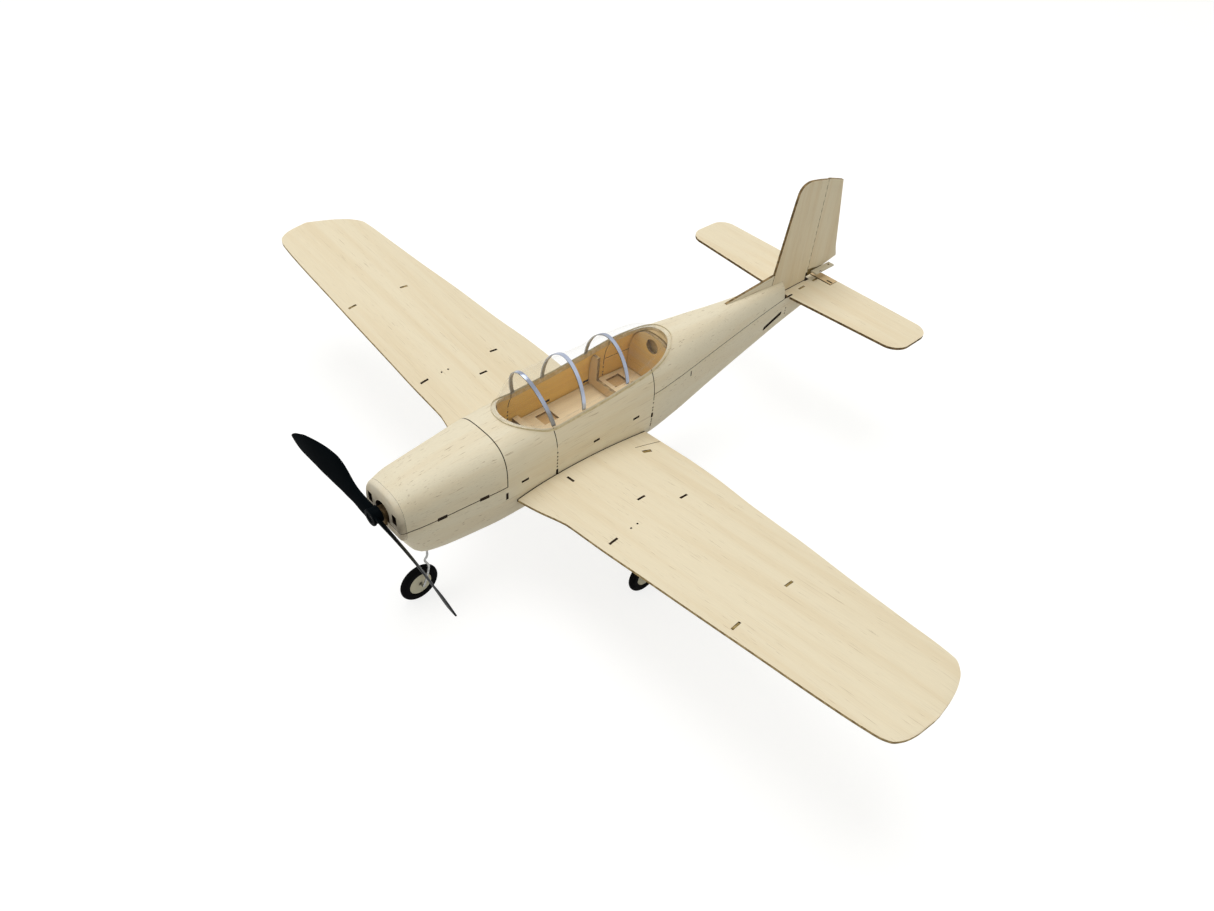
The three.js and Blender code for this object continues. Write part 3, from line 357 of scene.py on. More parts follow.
def make(name, points, faces, finishes, face_finish=None, scale=MM):
    """A mesh object from points in millimetres, with its faces turned outwards."""
    mesh = bpy.data.meshes.new(name)
    mesh.from_pydata([(x * scale, y * scale, z * scale) for x, y, z in points], [], faces)
    for finish in finishes:
        mesh.materials.append(finish)
    if face_finish:
        mesh.polygons.foreach_set("material_index", face_finish)
    bm = bmesh.new()
    bm.from_mesh(mesh)
    bmesh.ops.remove_doubles(bm, verts=bm.verts, dist=1e-7)
    bmesh.ops.recalc_face_normals(bm, faces=bm.faces)
    bm.to_mesh(mesh)
    bm.free()
    piece = bpy.data.objects.new(name, mesh)
    bpy.context.scene.collection.objects.link(piece)
    return piece


def solid(name, shape, finish):
    """A mesh object of one finish from a shape's points and faces."""
    return make(name, *shape, [finish])


def loft(rings, closed_run=False):
    """Points and faces of a skin through rings of points, with flat ends."""
    count = len(rings[0])
    points = [p for ring in rings for p in ring]
    faces = []
    runs = len(rings) if closed_run else len(rings) - 1
    for i in range(runs):
        a, b = i * count, ((i + 1) % len(rings)) * count
        for j in range(count):
            k = (j + 1) % count
            faces.append((a + j, a + k, b + k, b + j))
    if not closed_run:
        last = (len(rings) - 1) * count
        faces.append(tuple(range(count))[::-1])
        faces.append(tuple(last + j for j in range(count)))
    return points, faces


def prism(outline, axis, start, end):
    """A sheet of the given outline: drawn in YZ, XZ or XY, and thick along the axis."""
    def place(a, b, c):
        return {"X": (c, a, b), "Y": (a, c, b), "Z": (a, b, c)}[axis]

    n = len(outline)
    points = [place(a, b, start) for a, b in outline] + [place(a, b, end) for a, b in outline]
    faces = [tuple(range(n))[::-1], tuple(range(n, 2 * n))]
    faces += [(i, (i + 1) % n, n + (i + 1) % n, n + i) for i in range(n)]
    return points, faces


def sheet(name, outline, axis, start, end, flat, edge):
    points, faces = prism(outline, axis, start, end)
    return make(name, points, faces, [flat, edge], [0, 0] + [1] * len(outline))


def boxes(name, spans, finish):
    """Several blocks in one mesh; each span is x from, x to, y from, y to, z from, z to."""
    points, faces = [], []
    for x0, x1, y0, y1, z0, z1 in spans:
        block_points, block_faces = prism([(x0, y0), (x1, y0), (x1, y1), (x0, y1)], "Z", z0, z1)
        faces += [tuple(i + len(points) for i in face) for face in block_faces]
        points += block_points
    return make(name, points, faces, [finish])


def rod(radius, axis, start, end, a, b, sides=48):
    return prism([(a + radius * c, b + radius * s) for c, s in circle(sides)], axis, start, end)


def lathe(profile, sides, place):
    """A turned piece: each profile row is a radius and a distance along the axle."""
    rings = []
    for c, s in circle(sides):
        rings.append([place(radius * c, radius * s, along) for radius, along in profile])
    return loft(rings, closed_run=True)


def tube(path, radius, sides=16, section=None):
    """A round or shaped bar along a path, with its section carried without twisting."""
    points = [Vector(p) for p in path]
    tangents = []
    for i in range(len(points)):
        before, after = points[max(i - 1, 0)], points[min(i + 1, len(points) - 1)]
        tangents.append((after - before).normalized())
    normal = tangents[0].orthogonal().normalized()
    rings = []
    for i, (point, tangent) in enumerate(zip(points, tangents)):
        if i:
            normal = (normal - tangent * normal.dot(tangent)).normalized()
        side = tangent.cross(normal)
        shape = section or [(radius * c, radius * s) for c, s in circle(sides)]
        rings.append([tuple(point + normal * a + side * b) for a, b in shape])
    return loft(rings)


def curve_through(points, step):
    """Points at an even step on a smooth curve through the given ones."""
    pts = [Vector(p) for p in points]
    pts = [pts[0] * 2 - pts[1]] + pts + [pts[-1] * 2 - pts[-2]]
    out = []
    for i in range(1, len(pts) - 2):
        p0, p1, p2, p3 = pts[i - 1:i + 3]
        t1 = max((p1 - p0).length, 1e-6) ** 0.5
        t2 = t1 + max((p2 - p1).length, 1e-6) ** 0.5
        t3 = t2 + max((p3 - p2).length, 1e-6) ** 0.5
        count = max(2, math.ceil((p2 - p1).length / step))
        for k in range(count):
            t = t1 + (t2 - t1) * k / count
            a1 = p0 * ((t1 - t) / t1) + p1 * (t / t1)
            a2 = p1 * ((t2 - t) / (t2 - t1)) + p2 * ((t - t1) / (t2 - t1))
            a3 = p2 * ((t3 - t) / (t3 - t2)) + p3 * ((t - t2) / (t3 - t2))
            b1 = a1 * ((t2 - t) / t2) + a2 * (t / t2)
            b2 = a2 * ((t3 - t) / (t3 - t1)) + a3 * ((t - t1) / (t3 - t1))
            out.append(tuple(b1 * ((t2 - t) / (t2 - t1)) + b2 * ((t - t1) / (t2 - t1))))
    out.append(tuple(pts[-2]))
    return out


def apply_tool(piece, tool, operation):
    modifier = piece.modifiers.new("cut", "BOOLEAN")
    modifier.operation = operation
    modifier.object = tool
    modifier.solver = "EXACT"
    modifier.material_mode = "TRANSFER"
    with bpy.context.temp_override(object=piece, active_object=piece, selected_objects=[piece]):
        bpy.ops.object.modifier_apply(modifier=modifier.name)
    if not len(piece.data.polygons):
        raise RuntimeError(f"{piece.name}: nothing is left after a cut")


def discard(*tools):
    for tool in tools:
        mesh = tool.data
        bpy.data.objects.remove(tool)
        if not mesh.users:
            bpy.data.meshes.remove(mesh)


def duplicate(piece, name):
    twin = piece.copy()
    twin.data = piece.data.copy()
    twin.name = name
    bpy.context.scene.collection.objects.link(twin)
    return twin


def repaint(piece, material):
    """Gives a piece one material throughout."""
    piece.data.materials.clear()
    piece.data.materials.append(material)
    piece.data.polygons.foreach_set("material_index", [0] * len(piece.data.polygons))


def cut(piece, *tools):
    for tool in tools:
        apply_tool(piece, tool, "DIFFERENCE")
    return piece


def cut_away(piece, *tools):
    """Cuts with tools that aren't needed again."""
    cut(piece, *tools)
    discard(*tools)


def keep_inside(piece, *tools):
    for tool in tools:
        apply_tool(piece, tool, "INTERSECT")
    return piece


def finish_piece(piece, body, nodes=(), angle=32):
    mesh = piece.data
    mesh.shade_smooth()
    mesh.set_sharp_from_angle(angle=math.radians(angle))
    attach(piece, body)
    if nodes:
        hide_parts(*nodes)
    return piece


def join(piece, other):
    """Adds the other piece's faces to the first, as one mesh with both sets of finishes."""
    with bpy.context.temp_override(
            object=piece, active_object=piece, selected_editable_objects=[piece, other]):
        bpy.ops.object.join()


def chamfer(piece, width, segments=2, angle=40):
    modifier = piece.modifiers.new("edge", "BEVEL")
    modifier.width = width * MM
    modifier.segments = segments
    modifier.limit_method = "ANGLE"
    modifier.angle_limit = math.radians(angle)
    with bpy.context.temp_override(object=piece, active_object=piece, selected_objects=[piece]):
        bpy.ops.object.modifier_apply(modifier=modifier.name)
    return piece


# ---- Finishes ----

def node(tree, kind, inputs=None, **facts):
    new = tree.nodes.new(kind)
    for name, value in facts.items():
        setattr(new, name, value)
    for name, value in (inputs or {}).items():
        socket = new.inputs[name]
        if isinstance(value, bpy.types.NodeSocket):
            tree.links.new(value, socket)
        else:
            socket.default_value = value
    return new


def colour4(values):
    return (*values, 1.0)


def make_group(name, inputs, outputs):
    group = bpy.data.node_groups.new(name, "ShaderNodeTree")
    for label, kind, default in inputs:
        socket = group.interface.new_socket(label, in_out="INPUT", socket_type=kind)
        if default is not None:
            socket.default_value = default
    for label, kind in outputs:
        group.interface.new_socket(label, in_out="OUTPUT", socket_type=kind)
    return group, group.nodes.new("NodeGroupInput")


def close_group(group, **values):
    """Links the group's results to its outputs of the same name."""
    node(group, "NodeGroupOutput", values)
    return group


def stretched_noise(tree, place, scale, detail=2.0, roughness=0.5, offset=(0, 0, 0)):
    mapped = node(tree, "ShaderNodeMapping", {"Vector": place, "Scale": scale, "Location": offset})
    return node(tree, "ShaderNodeTexNoise", {
        "Vector": mapped.outputs["Vector"], "Scale": 1.0, "Detail": detail, "Roughness": roughness,
    }).outputs["Fac"]


def ramp(tree, value, low, high, start=0.0, end=1.0):
    return node(tree, "ShaderNodeMapRange", {
        "Value": value, "From Min": low, "From Max": high, "To Min": start, "To Max": end,
    }, interpolation_type="SMOOTHSTEP").outputs["Result"]


def multiply(tree, a, b):
    return node(tree, "ShaderNodeMath", {0: a, 1: b}, operation="MULTIPLY").outputs[0]


def blend_colour(tree, share, a, b):
    mix = node(tree, "ShaderNodeMix", {0: share, 6: a, 7: b}, data_type="RGBA")
    return mix.outputs[2]


def wood_grain_group():
    """Sheet balsa: broad warm bands, fine fibres and short dark pores along the first axis."""
    name = "Sheet grain"
    if name in bpy.data.node_groups:
        return bpy.data.node_groups[name]
    group, enter = make_group(name, (
        ("Place", "NodeSocketVector", None),
        ("Wood", "NodeSocketColor", (0.76, 0.68, 0.5, 1)),
        ("Band", "NodeSocketColor", (0.68, 0.53, 0.3, 1)),
        ("Fleck", "NodeSocketColor", (0.33, 0.2, 0.1, 1)),
        ("Bands", "NodeSocketFloat", 0.5),
        ("Flecks", "NodeSocketFloat", 0.5),
    ), (("Color", "NodeSocketColor"), ("Roughness", "NodeSocketFloat"), ("Height", "NodeSocketFloat")))
    place = enter.outputs["Place"]
    broad = stretched_noise(group, place, (7, 150, 150), 3.0, 0.55)
    thin = stretched_noise(group, place, (16, 900, 900), 2.0, 0.6, (3, 5, 1))
    fibre = stretched_noise(group, place, (120, 6500, 6500), 2.0, 0.6, (7, 2, 4))
    pores = stretched_noise(group, place, (105, 2700, 2700), 2.0, 0.5, (1, 9, 6))
    lines = stretched_noise(group, place, (34, 2300, 2300), 2.0, 0.6, (6, 1, 8))
    patches = stretched_noise(group, place, (30, 130, 130), 1.0, 0.5, (4, 4, 4))
    broad_share = multiply(group, ramp(group, broad, 0.40, 0.68), enter.outputs["Bands"])
    thin_share = multiply(group, ramp(group, thin, 0.52, 0.80, 0, 0.35), enter.outputs["Bands"])
    colour = blend_colour(group, broad_share, enter.outputs["Wood"], enter.outputs["Band"])
    colour = blend_colour(group, thin_share, colour, enter.outputs["Band"])
    pore_share = multiply(group, ramp(group, pores, 0.63, 0.74), ramp(group, patches, 0.42, 0.60, 0.1, 1))
    line_share = multiply(group, ramp(group, lines, 0.60, 0.72), ramp(group, patches, 0.58, 0.40, 0.05, 0.42))
    pore_share = node(group, "ShaderNodeMath", {0: pore_share, 1: line_share}, operation="MAXIMUM").outputs[0]
    pore_share = multiply(group, pore_share, enter.outputs["Flecks"])
    colour = blend_colour(group, pore_share, colour, enter.outputs["Fleck"])
    shade = ramp(group, fibre, 0.25, 0.75, 0.955, 1.03)
    colour = node(group, "ShaderNodeVectorMath", {0: colour, 3: shade}, operation="SCALE").outputs[0]
    rough = ramp(group, fibre, 0.2, 0.8, 0.52, 0.68)
    height = node(group, "ShaderNodeMath", {0: fibre, 1: pore_share}, operation="SUBTRACT").outputs[0]
    return close_group(group, Color=colour, Roughness=rough, Height=height)


def char_and_shadow_group():
    """Charred cut face: nearly black with browner streaks across the sheet's thickness; paler colours through
    it paint the shadow at the canopy flange's edge.
    """
    name = "Beam char"
    if name in bpy.data.node_groups:
        return bpy.data.node_groups[name]
    group, enter = make_group(name, (
        ("Place", "NodeSocketVector", None),
        ("Char", "NodeSocketColor", (0.03, 0.018, 0.01, 1)),
        ("Scorch", "NodeSocketColor", (0.16, 0.085, 0.035, 1)),
        ("Scorched", "NodeSocketFloat", 0.6),
    ), (("Color", "NodeSocketColor"), ("Roughness", "NodeSocketFloat"), ("Height", "NodeSocketFloat")))
    place = enter.outputs["Place"]
    coarse = stretched_noise(group, place, (420, 420, 420), 3.0, 0.6)
    fine = stretched_noise(group, place, (2600, 2600, 900), 1.0, 0.5)
    share = multiply(group, ramp(group, coarse, 0.35, 0.72), enter.outputs["Scorched"])
    colour = blend_colour(group, share, enter.outputs["Char"], enter.outputs["Scorch"])
    rough = ramp(group, fine, 0.2, 0.8, 0.7, 0.92)
    return close_group(group, Color=colour, Roughness=rough, Height=fine)


def wear_and_reflection_group():
    """Fine uneven wear for plastics and metals: a mottled mask with its roughness and height; on the silver
    hoops the mask is coarse and paints their reflections.
    """
    name = "Fine wear"
    if name in bpy.data.node_groups:
        return bpy.data.node_groups[name]
    group, enter = make_group(name, (
        ("Place", "NodeSocketVector", None),
        ("Scale", "NodeSocketFloat", 900.0),
        ("Low", "NodeSocketFloat", 0.25),
        ("High", "NodeSocketFloat", 0.4),
    ), (("Mask", "NodeSocketFloat"), ("Roughness", "NodeSocketFloat"), ("Height", "NodeSocketFloat")))
    grown = node(group, "ShaderNodeVectorMath", {
        0: enter.outputs["Place"], 3: enter.outputs["Scale"]}, operation="SCALE").outputs[0]
    noise = node(group, "ShaderNodeTexNoise", {
        "Vector": grown, "Scale": 1.0, "Detail": 3.0, "Roughness": 0.6}).outputs["Fac"]
    mask = ramp(group, noise, 0.3, 0.7)
    rough = node(group, "ShaderNodeMapRange", {
        "Value": mask, "To Min": enter.outputs["Low"], "To Max": enter.outputs["High"]}).outputs["Result"]
    return close_group(group, Mask=mask, Roughness=rough, Height=noise)


def start_material(name):
    material = bpy.data.materials.new(name)
    material.use_nodes = True
    tree = material.node_tree
    tree.nodes.clear()
    shader = node(tree, "ShaderNodeBsdfPrincipled")
    output = node(tree, "ShaderNodeOutputMaterial", {"Surface": shader.outputs[0]})
    output.is_active_output = True
    return material, tree, shader


def object_place(tree):
    return node(tree, "ShaderNodeTexCoord").outputs["Object"]


def grain_place(tree, along, flat=None):
    """The place on the piece, turned so that the grain runs along the first axis."""
    place = object_place(tree)
    parts = node(tree, "ShaderNodeSeparateXYZ", {0: place}).outputs
    order = {"X": (0, 1, 2), "Y": (1, 0, 2), "Z": (2, 1, 0)}[along]
    inputs = {k: parts[axis] for k, axis in enumerate(order) if "XYZ"[axis] != flat}
    return node(tree, "ShaderNodeCombineXYZ", inputs).outputs[0]


def dress_shader(tree, shader, colour, source, strength, distance=0.00008, gloss=0.5):
    """Links a colour, and the roughness and height of the group it comes from, to the shader."""
    bump = node(tree, "ShaderNodeBump", {
        "Height": source.outputs["Height"], "Strength": strength, "Distance": distance})
    tree.links.new(colour, shader.inputs["Base Color"])
    tree.links.new(source.outputs["Roughness"], shader.inputs["Roughness"])
    tree.links.new(bump.outputs["Normal"], shader.inputs["Normal"])
    shader.inputs["Specular IOR Level"].default_value = gloss


def wood(name, colour, along, flat=None, bands=0.5, flecks=0.6, band=None):
    if name in bpy.data.materials:
        return bpy.data.materials[name]
    values = settings().wood
    material, tree, shader = start_material(name)
    grain = node(tree, "ShaderNodeGroup", {
        "Place": grain_place(tree, along, flat), "Wood": colour4(colour),
        "Band": colour4(band or values.band), "Fleck": colour4(values.fleck),
        "Bands": bands, "Flecks": flecks}, node_tree=wood_grain_group())
    dress_shader(tree, shader, grain.outputs["Color"], grain, 0.25, gloss=0.3)
    return material


def skin_wood():
    return wood("Skin balsa", settings().wood.skin, "Y", bands=0.25, flecks=0.8)


def lining_wood():
    return wood("Skin lining", settings().wood.lining, "Y", bands=0.4, flecks=0.3, band=(0.74, 0.43, 0.13))


def sheet_wood():
    return wood("Sheet balsa", settings().wood.sheet, "X", flat="Z", bands=0.32, flecks=0.6)


def fin_wood():
    return wood("Fin balsa", settings().wood.sheet, "Z", flat="X", bands=0.5, flecks=0.5)


def burn_and_shadow_wood(name, dark, scorch, scorched):
    """A face that the cutting beam has burnt; the canopy flange's edge uses it for a painted shadow."""
    if name in bpy.data.materials:
        return bpy.data.materials[name]
    material, tree, shader = start_material(name)
    burnt = node(tree, "ShaderNodeGroup", {
        "Place": object_place(tree), "Char": colour4(dark), "Scorch": colour4(scorch),
        "Scorched": scorched}, node_tree=char_and_shadow_group())
    dress_shader(tree, shader, burnt.outputs["Color"], burnt, 0.3, gloss=0.15)
    return material


def char():
    return burn_and_shadow_wood("Charred cut", settings().wood.char, (0.085, 0.045, 0.020), 0.5)


def scorched_rim():
    return burn_and_shadow_wood("Scorched rim", settings().wood.rim, (0.34, 0.23, 0.11), 1.0)


def light_rim():
    return burn_and_shadow_wood("Light rim", (0.26, 0.18, 0.08), (0.56, 0.42, 0.22), 1.0)


def opening_edge():
    return burn_and_shadow_wood("Opening edge", (0.62, 0.46, 0.22), (0.78, 0.64, 0.40), 1.0)


def rudder_scorch():
    return burn_and_shadow_wood("Rudder scorch", (0.11, 0.075, 0.025), (0.30, 0.22, 0.09), 0.8)


def tan_tab():
    return burn_and_shadow_wood("Tab end", (0.22, 0.15, 0.05), (0.46, 0.34, 0.15), 1.0)


def wear_and_painted_reflection(name, colour, dark, scale, low, high, metallic=0.0, bump=0.08, gloss=0.5):
    """A plastic, metal or rubber with fine wear in its colour and gloss; on the silver hoops the same mottle,
    coarse and darker, is a painted reflection.
    """
    if name in bpy.data.materials:
        return bpy.data.materials[name]
    material, tree, shader = start_material(name)
    wear = node(tree, "ShaderNodeGroup", {
        "Place": object_place(tree), "Scale": scale, "Low": low, "High": high}, node_tree=wear_and_reflection_group())
    mixed = blend_colour(tree, wear.outputs["Mask"], colour4(colour), colour4(dark))
    dress_shader(tree, shader, mixed, wear, bump, 0.0001, gloss)
    shader.inputs["Metallic"].default_value = metallic
    return material


def shaded(values, share):
    return tuple(v * share for v in values)


def prop_plastic():
    base = settings().fitting.propeller
    return wear_and_painted_reflection("Black plastic", base, shaded(base, 1.3), 120, 0.30, 0.36, bump=0.01, gloss=0.006)


def tyre_foam():
    base = settings().fitting.tyre
    return wear_and_painted_reflection("Tyre foam", base, shaded(base, 2.0), 2600, 0.7, 0.9, bump=0.3, gloss=0.02)


def steel_wire():
    base = settings().fitting.wire
    return wear_and_painted_reflection("Spring steel", base, shaded(base, 0.6), 900, 0.22, 0.4, metallic=1.0)


def bearing_wood():
    return burn_and_shadow_wood("Bearing block", (0.075, 0.045, 0.018), (0.24, 0.16, 0.075), 0.7)


def silver_painted_reflection():
    # Painted reflection: blue-tinted silver with a coarse mottle darkened to 0.55, for reflections that the
    # white stage doesn't give
    base = settings().fitting.hoop
    return wear_and_painted_reflection("Silver strip", base, shaded(base, 0.55), 60, 0.16, 0.26, metallic=0.9, bump=0.03)


def strip_back():
    return wear_and_painted_reflection("Strip back", (0.50, 0.46, 0.36), (0.36, 0.32, 0.24), 700, 0.5, 0.7)


def motor_rubber():
    base = settings().fitting.rubber
    return wear_and_painted_reflection("Motor rubber", base, shaded(base, 0.7), 1500, 0.5, 0.7, bump=0.2)


def weight_iron():
    iron, dark = (0.10, 0.10, 0.105), (0.055, 0.05, 0.045)
    return wear_and_painted_reflection("Nose iron", iron, dark, 800, 0.45, 0.65, metallic=0.8, bump=0.25)


def nose_wood():
    """End grain of the nose blocks, darker and greyer towards the crutch: painted shade of the blocks' lower
    side, broken up by a mottle.
    """
    name = "Nose block"
    if name in bpy.data.materials:
        return bpy.data.materials[name]
    material = wood(name, (0.76, 0.69, 0.56), "Y", bands=0.3, flecks=0.5)
    tree = material.node_tree
    shader = next(item for item in tree.nodes if item.bl_idname == "ShaderNodeBsdfPrincipled")
    place = object_place(tree)
    height = node(tree, "ShaderNodeSeparateXYZ", {0: place}).outputs["Z"]
    shade_mottle = stretched_noise(tree, place, (260, 260, 260), 3.0, 0.6)
    # Painted shade: the end grain turns a darker grey-brown towards the bottom of the blocks, in a mottle
    low = ramp(tree, height, 0.0715, 0.0560)
    share = multiply(tree, low, ramp(tree, shade_mottle, 0.30, 0.70, 0.25, 0.85))
    grain = shader.inputs["Base Color"].links[0].from_socket
    tree.links.new(blend_colour(tree, share, grain, (0.33, 0.26, 0.17, 1)), shader.inputs["Base Color"])
    return material


def plywood():
    """Thin plywood: warm face grain with darker lines."""
    return wood("Thin plywood", (0.72, 0.53, 0.30), "X", flat="Z", bands=0.5, flecks=0.5)


def hub_wood():
    return wood("Hub plywood", (0.62, 0.60, 0.48), "Y", flat="X", bands=0.2, flecks=0.5)


def horn_wood():
    return wood("Horn plywood", (0.60, 0.55, 0.43), "Y", bands=0.2, flecks=0.4)


def flange_edge_shadow():
    """The cut edge of the canopy's flange, coloured tan as a painted shadow: the shadow that the flange's
    edge casts on the skin.
    """
    return burn_and_shadow_wood("Flange edge", (0.60, 0.50, 0.31), (0.76, 0.67, 0.46), 1.0)


def clear_film():
    """The canopy's clear plastic, denser where it is seen edge on."""
    name = "Canopy film"
    if name in bpy.data.materials:
        return bpy.data.materials[name]
    values = settings().fitting
    material, tree, shader = start_material(name)
    wear = node(tree, "ShaderNodeGroup", {
        "Place": object_place(tree), "Scale": 60, "Low": 0.05, "High": 0.11}, node_tree=wear_and_reflection_group())
    film, dull = colour4(values.film), colour4(shaded(values.film, 0.94))
    tinted = blend_colour(tree, wear.outputs["Mask"], film, dull)
    tree.links.new(tinted, shader.inputs["Base Color"])
    tree.links.new(wear.outputs["Roughness"], shader.inputs["Roughness"])
    veil = node(tree, "ShaderNodeLayerWeight", {"Blend": 0.35}).outputs["Facing"]
    alpha = ramp(tree, veil, 0.35, 1.0, values.film_alpha, min(1.0, values.film_alpha * 3.0))
    tree.links.new(alpha, shader.inputs["Alpha"])
    return material


# ---- Pieces ----

def hull_solid(name, inset, start, end, finish):
    build = settings().build
    rings = [hull_ring(y, inset, build.skin_sides) for y in spread(start, end, build.ring_step / MM)]
    return solid(name, loft(rings), finish)


def skin_tube(name, start, end, thickness=SKIN, sunk=0):
    """A length of the hollow hull with charred ends."""
    build = settings().build
    ys = spread(start, end, build.ring_step / MM)
    sides = build.skin_sides
    outer = [hull_ring(y, sunk, sides) for y in ys]
    inner = [hull_ring(y, sunk + thickness, sides) for y in reversed(ys)]
    points, faces = loft(outer + inner, closed_run=True)
    finish = [0] * len(faces)
    for run in range(len(ys) - 1, 2 * len(ys)):
        for j in range(sides):
            finish[run * sides + j] = 1 if run in (len(ys) - 1, 2 * len(ys) - 1) else 2
    return make(name, points, faces, [skin_wood(), char(), lining_wood()], finish)


def side_cut_spans():
    spans = []
    for y, z, length, height in SIDE_CUTS:
        spans += both_sides(5, 30, y - length / 2, y + length / 2, z - height / 2, z + height / 2)
    return spans


def opening_tool():
    return solid("opening_tool", prism(cockpit_outline(0), "Z", 64, 100), opening_edge())


def belly_tool(start, end, shrink):
    """What parts the belly sheet from the side skins."""
    rings = []
    for y in spread(start, end, 4):
        width, _, depth, _, _ = hull_sizes(y)
        x = width * HULL_HALF_WIDTH - SKIN - 1 - shrink
        z = CRUTCH_Z - depth * BELLY_DEPTH + 1.4 - shrink
        rings.append([(-x, y, 20), (x, y, 20), (x, y, z), (-x, y, z)])
    return solid("belly_tool", loft(rings), char())


def former_line_spans(y, line_from, dots, slots):
    """Cuts on a skin joint: a thin line above, then dots and a slot."""
    half, dot, slot = 0.2, 0.35, 0.6
    spans = both_sides(3, 30, y - half, y + half, line_from, HIGH_Z)
    for z in dots:
        spans += both_sides(8, 30, y - dot, y + dot, z - dot, z + dot)
    for low, high in slots:
        spans += both_sides(8, 30, y - slot, y + slot, low, high)
    return spans


class PLANE_OT_stage(bpy.types.Operator):
    """Sets up the floor, the light and the camera"""
    bl_idname = "plane.stage"
    bl_label = "Stage"

    # The photograph's camera, solved from mirrored pairs of points; places in metres
    LENS, SENSOR = 27.905, 36
    CAMERA_AT = (0.2266776, -0.2532455, 0.3200210)
    CAMERA_RIGHT, CAMERA_UP = (0.677975, 0.732192, 0.065151), (-0.529721, 0.425193, 0.733898)

    # Round lamps: name, place, size and power, and the point that they all face
    LAMPS = (
        ("key_lamp", (-0.2, 0.1, 1.35), 1.1, 10.5),
        ("fill_lamp", (-0.9, -1.1, 0.9), 1.2, 4.0),
        ("side_lamp", (1.25, -0.1, 0.5), 1.0, 1.1))
    AIM = (0, -0.02, 0.05)

    # The floor's rings, as radius and rise, and the points on each
    FLOOR_RINGS, FLOOR_SIDES = ((0.001, 0), (0.6, 0), (2.5, 0), (5.0, 0), (5.6, 0.5)), 96

    def execute(self, context):
        scene = context.scene
        scene.view_settings.view_transform = "Standard"
        self.add_camera(scene)
        self.add_floor()
        self.add_world(scene)
        for lamp in self.LAMPS:
            self.add_lamp(*lamp)
        return {"FINISHED"}

    def add_camera(self, scene):
        data = bpy.data.cameras.new("view_camera")
        data.sensor_width = self.SENSOR
        data.sensor_fit = "HORIZONTAL"
        data.lens = self.LENS
        data.clip_start = 0.01
        data.clip_end = 20
        camera = bpy.data.objects.new("view_camera", data)
        right = Vector(self.CAMERA_RIGHT).normalized()
        back = right.cross(Vector(self.CAMERA_UP)).normalized()
        up = back.cross(right)
        turn = Matrix((right, up, back)).transposed()
        camera.matrix_world = Matrix.Translation(self.CAMERA_AT) @ turn.to_4x4()
        scene.collection.objects.link(camera)
        scene.camera = camera

    def background_share(self, tree):
        """One where the camera, a reflection or a clear film looks straight at the stage."""
        path = node(tree, "ShaderNodeLightPath").outputs
        seen = node(tree, "ShaderNodeMath", {
            0: path["Is Camera Ray"], 1: path["Is Glossy Ray"]}, operation="MAXIMUM").outputs[0]
        return node(tree, "ShaderNodeMath", {
            0: seen, 1: path["Is Transmission Ray"]}, operation="MAXIMUM").outputs[0]

    def add_floor(self):
        material = bpy.data.materials.new("Pale floor")
        material.use_nodes = True
        tree = material.node_tree
        tree.nodes.clear()
        place = object_place(tree)
        mottle = node(tree, "ShaderNodeTexNoise", {"Vector": place, "Scale": 6.0}).outputs["Fac"]
        tone = blend_colour(tree, mottle, (0.60, 0.60, 0.60, 1), (0.63, 0.63, 0.63, 1))
        matt = node(tree, "ShaderNodeBsdfDiffuse", {"Color": tone})
        faint = node(tree, "ShaderNodeBsdfDiffuse", {"Color": (0.3, 0.3, 0.3, 1)})
        glow = node(tree, "ShaderNodeEmission", {"Color": (1, 1, 1, 1), "Strength": 0.8})
        seen = node(tree, "ShaderNodeAddShader", {0: faint.outputs[0], 1: glow.outputs[0]})
        mix = node(tree, "ShaderNodeMixShader", {
            0: self.background_share(tree), 1: matt.outputs[0], 2: seen.outputs[0]})
        node(tree, "ShaderNodeOutputMaterial", {"Surface": mix.outputs[0]})
        sides = self.FLOOR_SIDES
        points = [
            (radius * c, radius * s, rise) for radius, rise in self.FLOOR_RINGS for c, s in circle(sides)]
        faces = []
        for start in range(0, (len(self.FLOOR_RINGS) - 1) * sides, sides):
            for j in range(sides):
                k = (j + 1) % sides
                faces.append((start + j, start + k, start + sides + k, start + sides + j))
        faces.append(tuple(range(sides)))
        floor = make("stage_floor", points, faces, [material], scale=1)

    def add_world(self, scene):
        world = bpy.data.worlds.new("Studio")
        world.use_nodes = True
        tree = world.node_tree
        tree.nodes.clear()
        even = node(tree, "ShaderNodeBackground", {
            "Color": (1, 0.995, 0.87, 1), "Strength": settings().build.stage_light})
        seen = node(tree, "ShaderNodeBackground", {"Color": (1, 1, 1, 1), "Strength": 1.0})
        mix = node(tree, "ShaderNodeMixShader", {
            0: self.background_share(tree), 1: even.outputs[0], 2: seen.outputs[0]})
        node(tree, "ShaderNodeOutputWorld", {"Surface": mix.outputs[0]})
        scene.world = world

    def add_lamp(self, name, place, size, power):
        data = bpy.data.lights.new(name, "AREA")
        data.shape = "DISK"
        data.size = size
        data.energy = power
        lamp = bpy.data.objects.new(name, data)
        aim = Vector(self.AIM) - Vector(place)
        lamp.matrix_world = Matrix.Translation(place) @ aim.to_track_quat("-Z", "Y").to_matrix().to_4x4()
        bpy.context.scene.collection.objects.link(lamp)


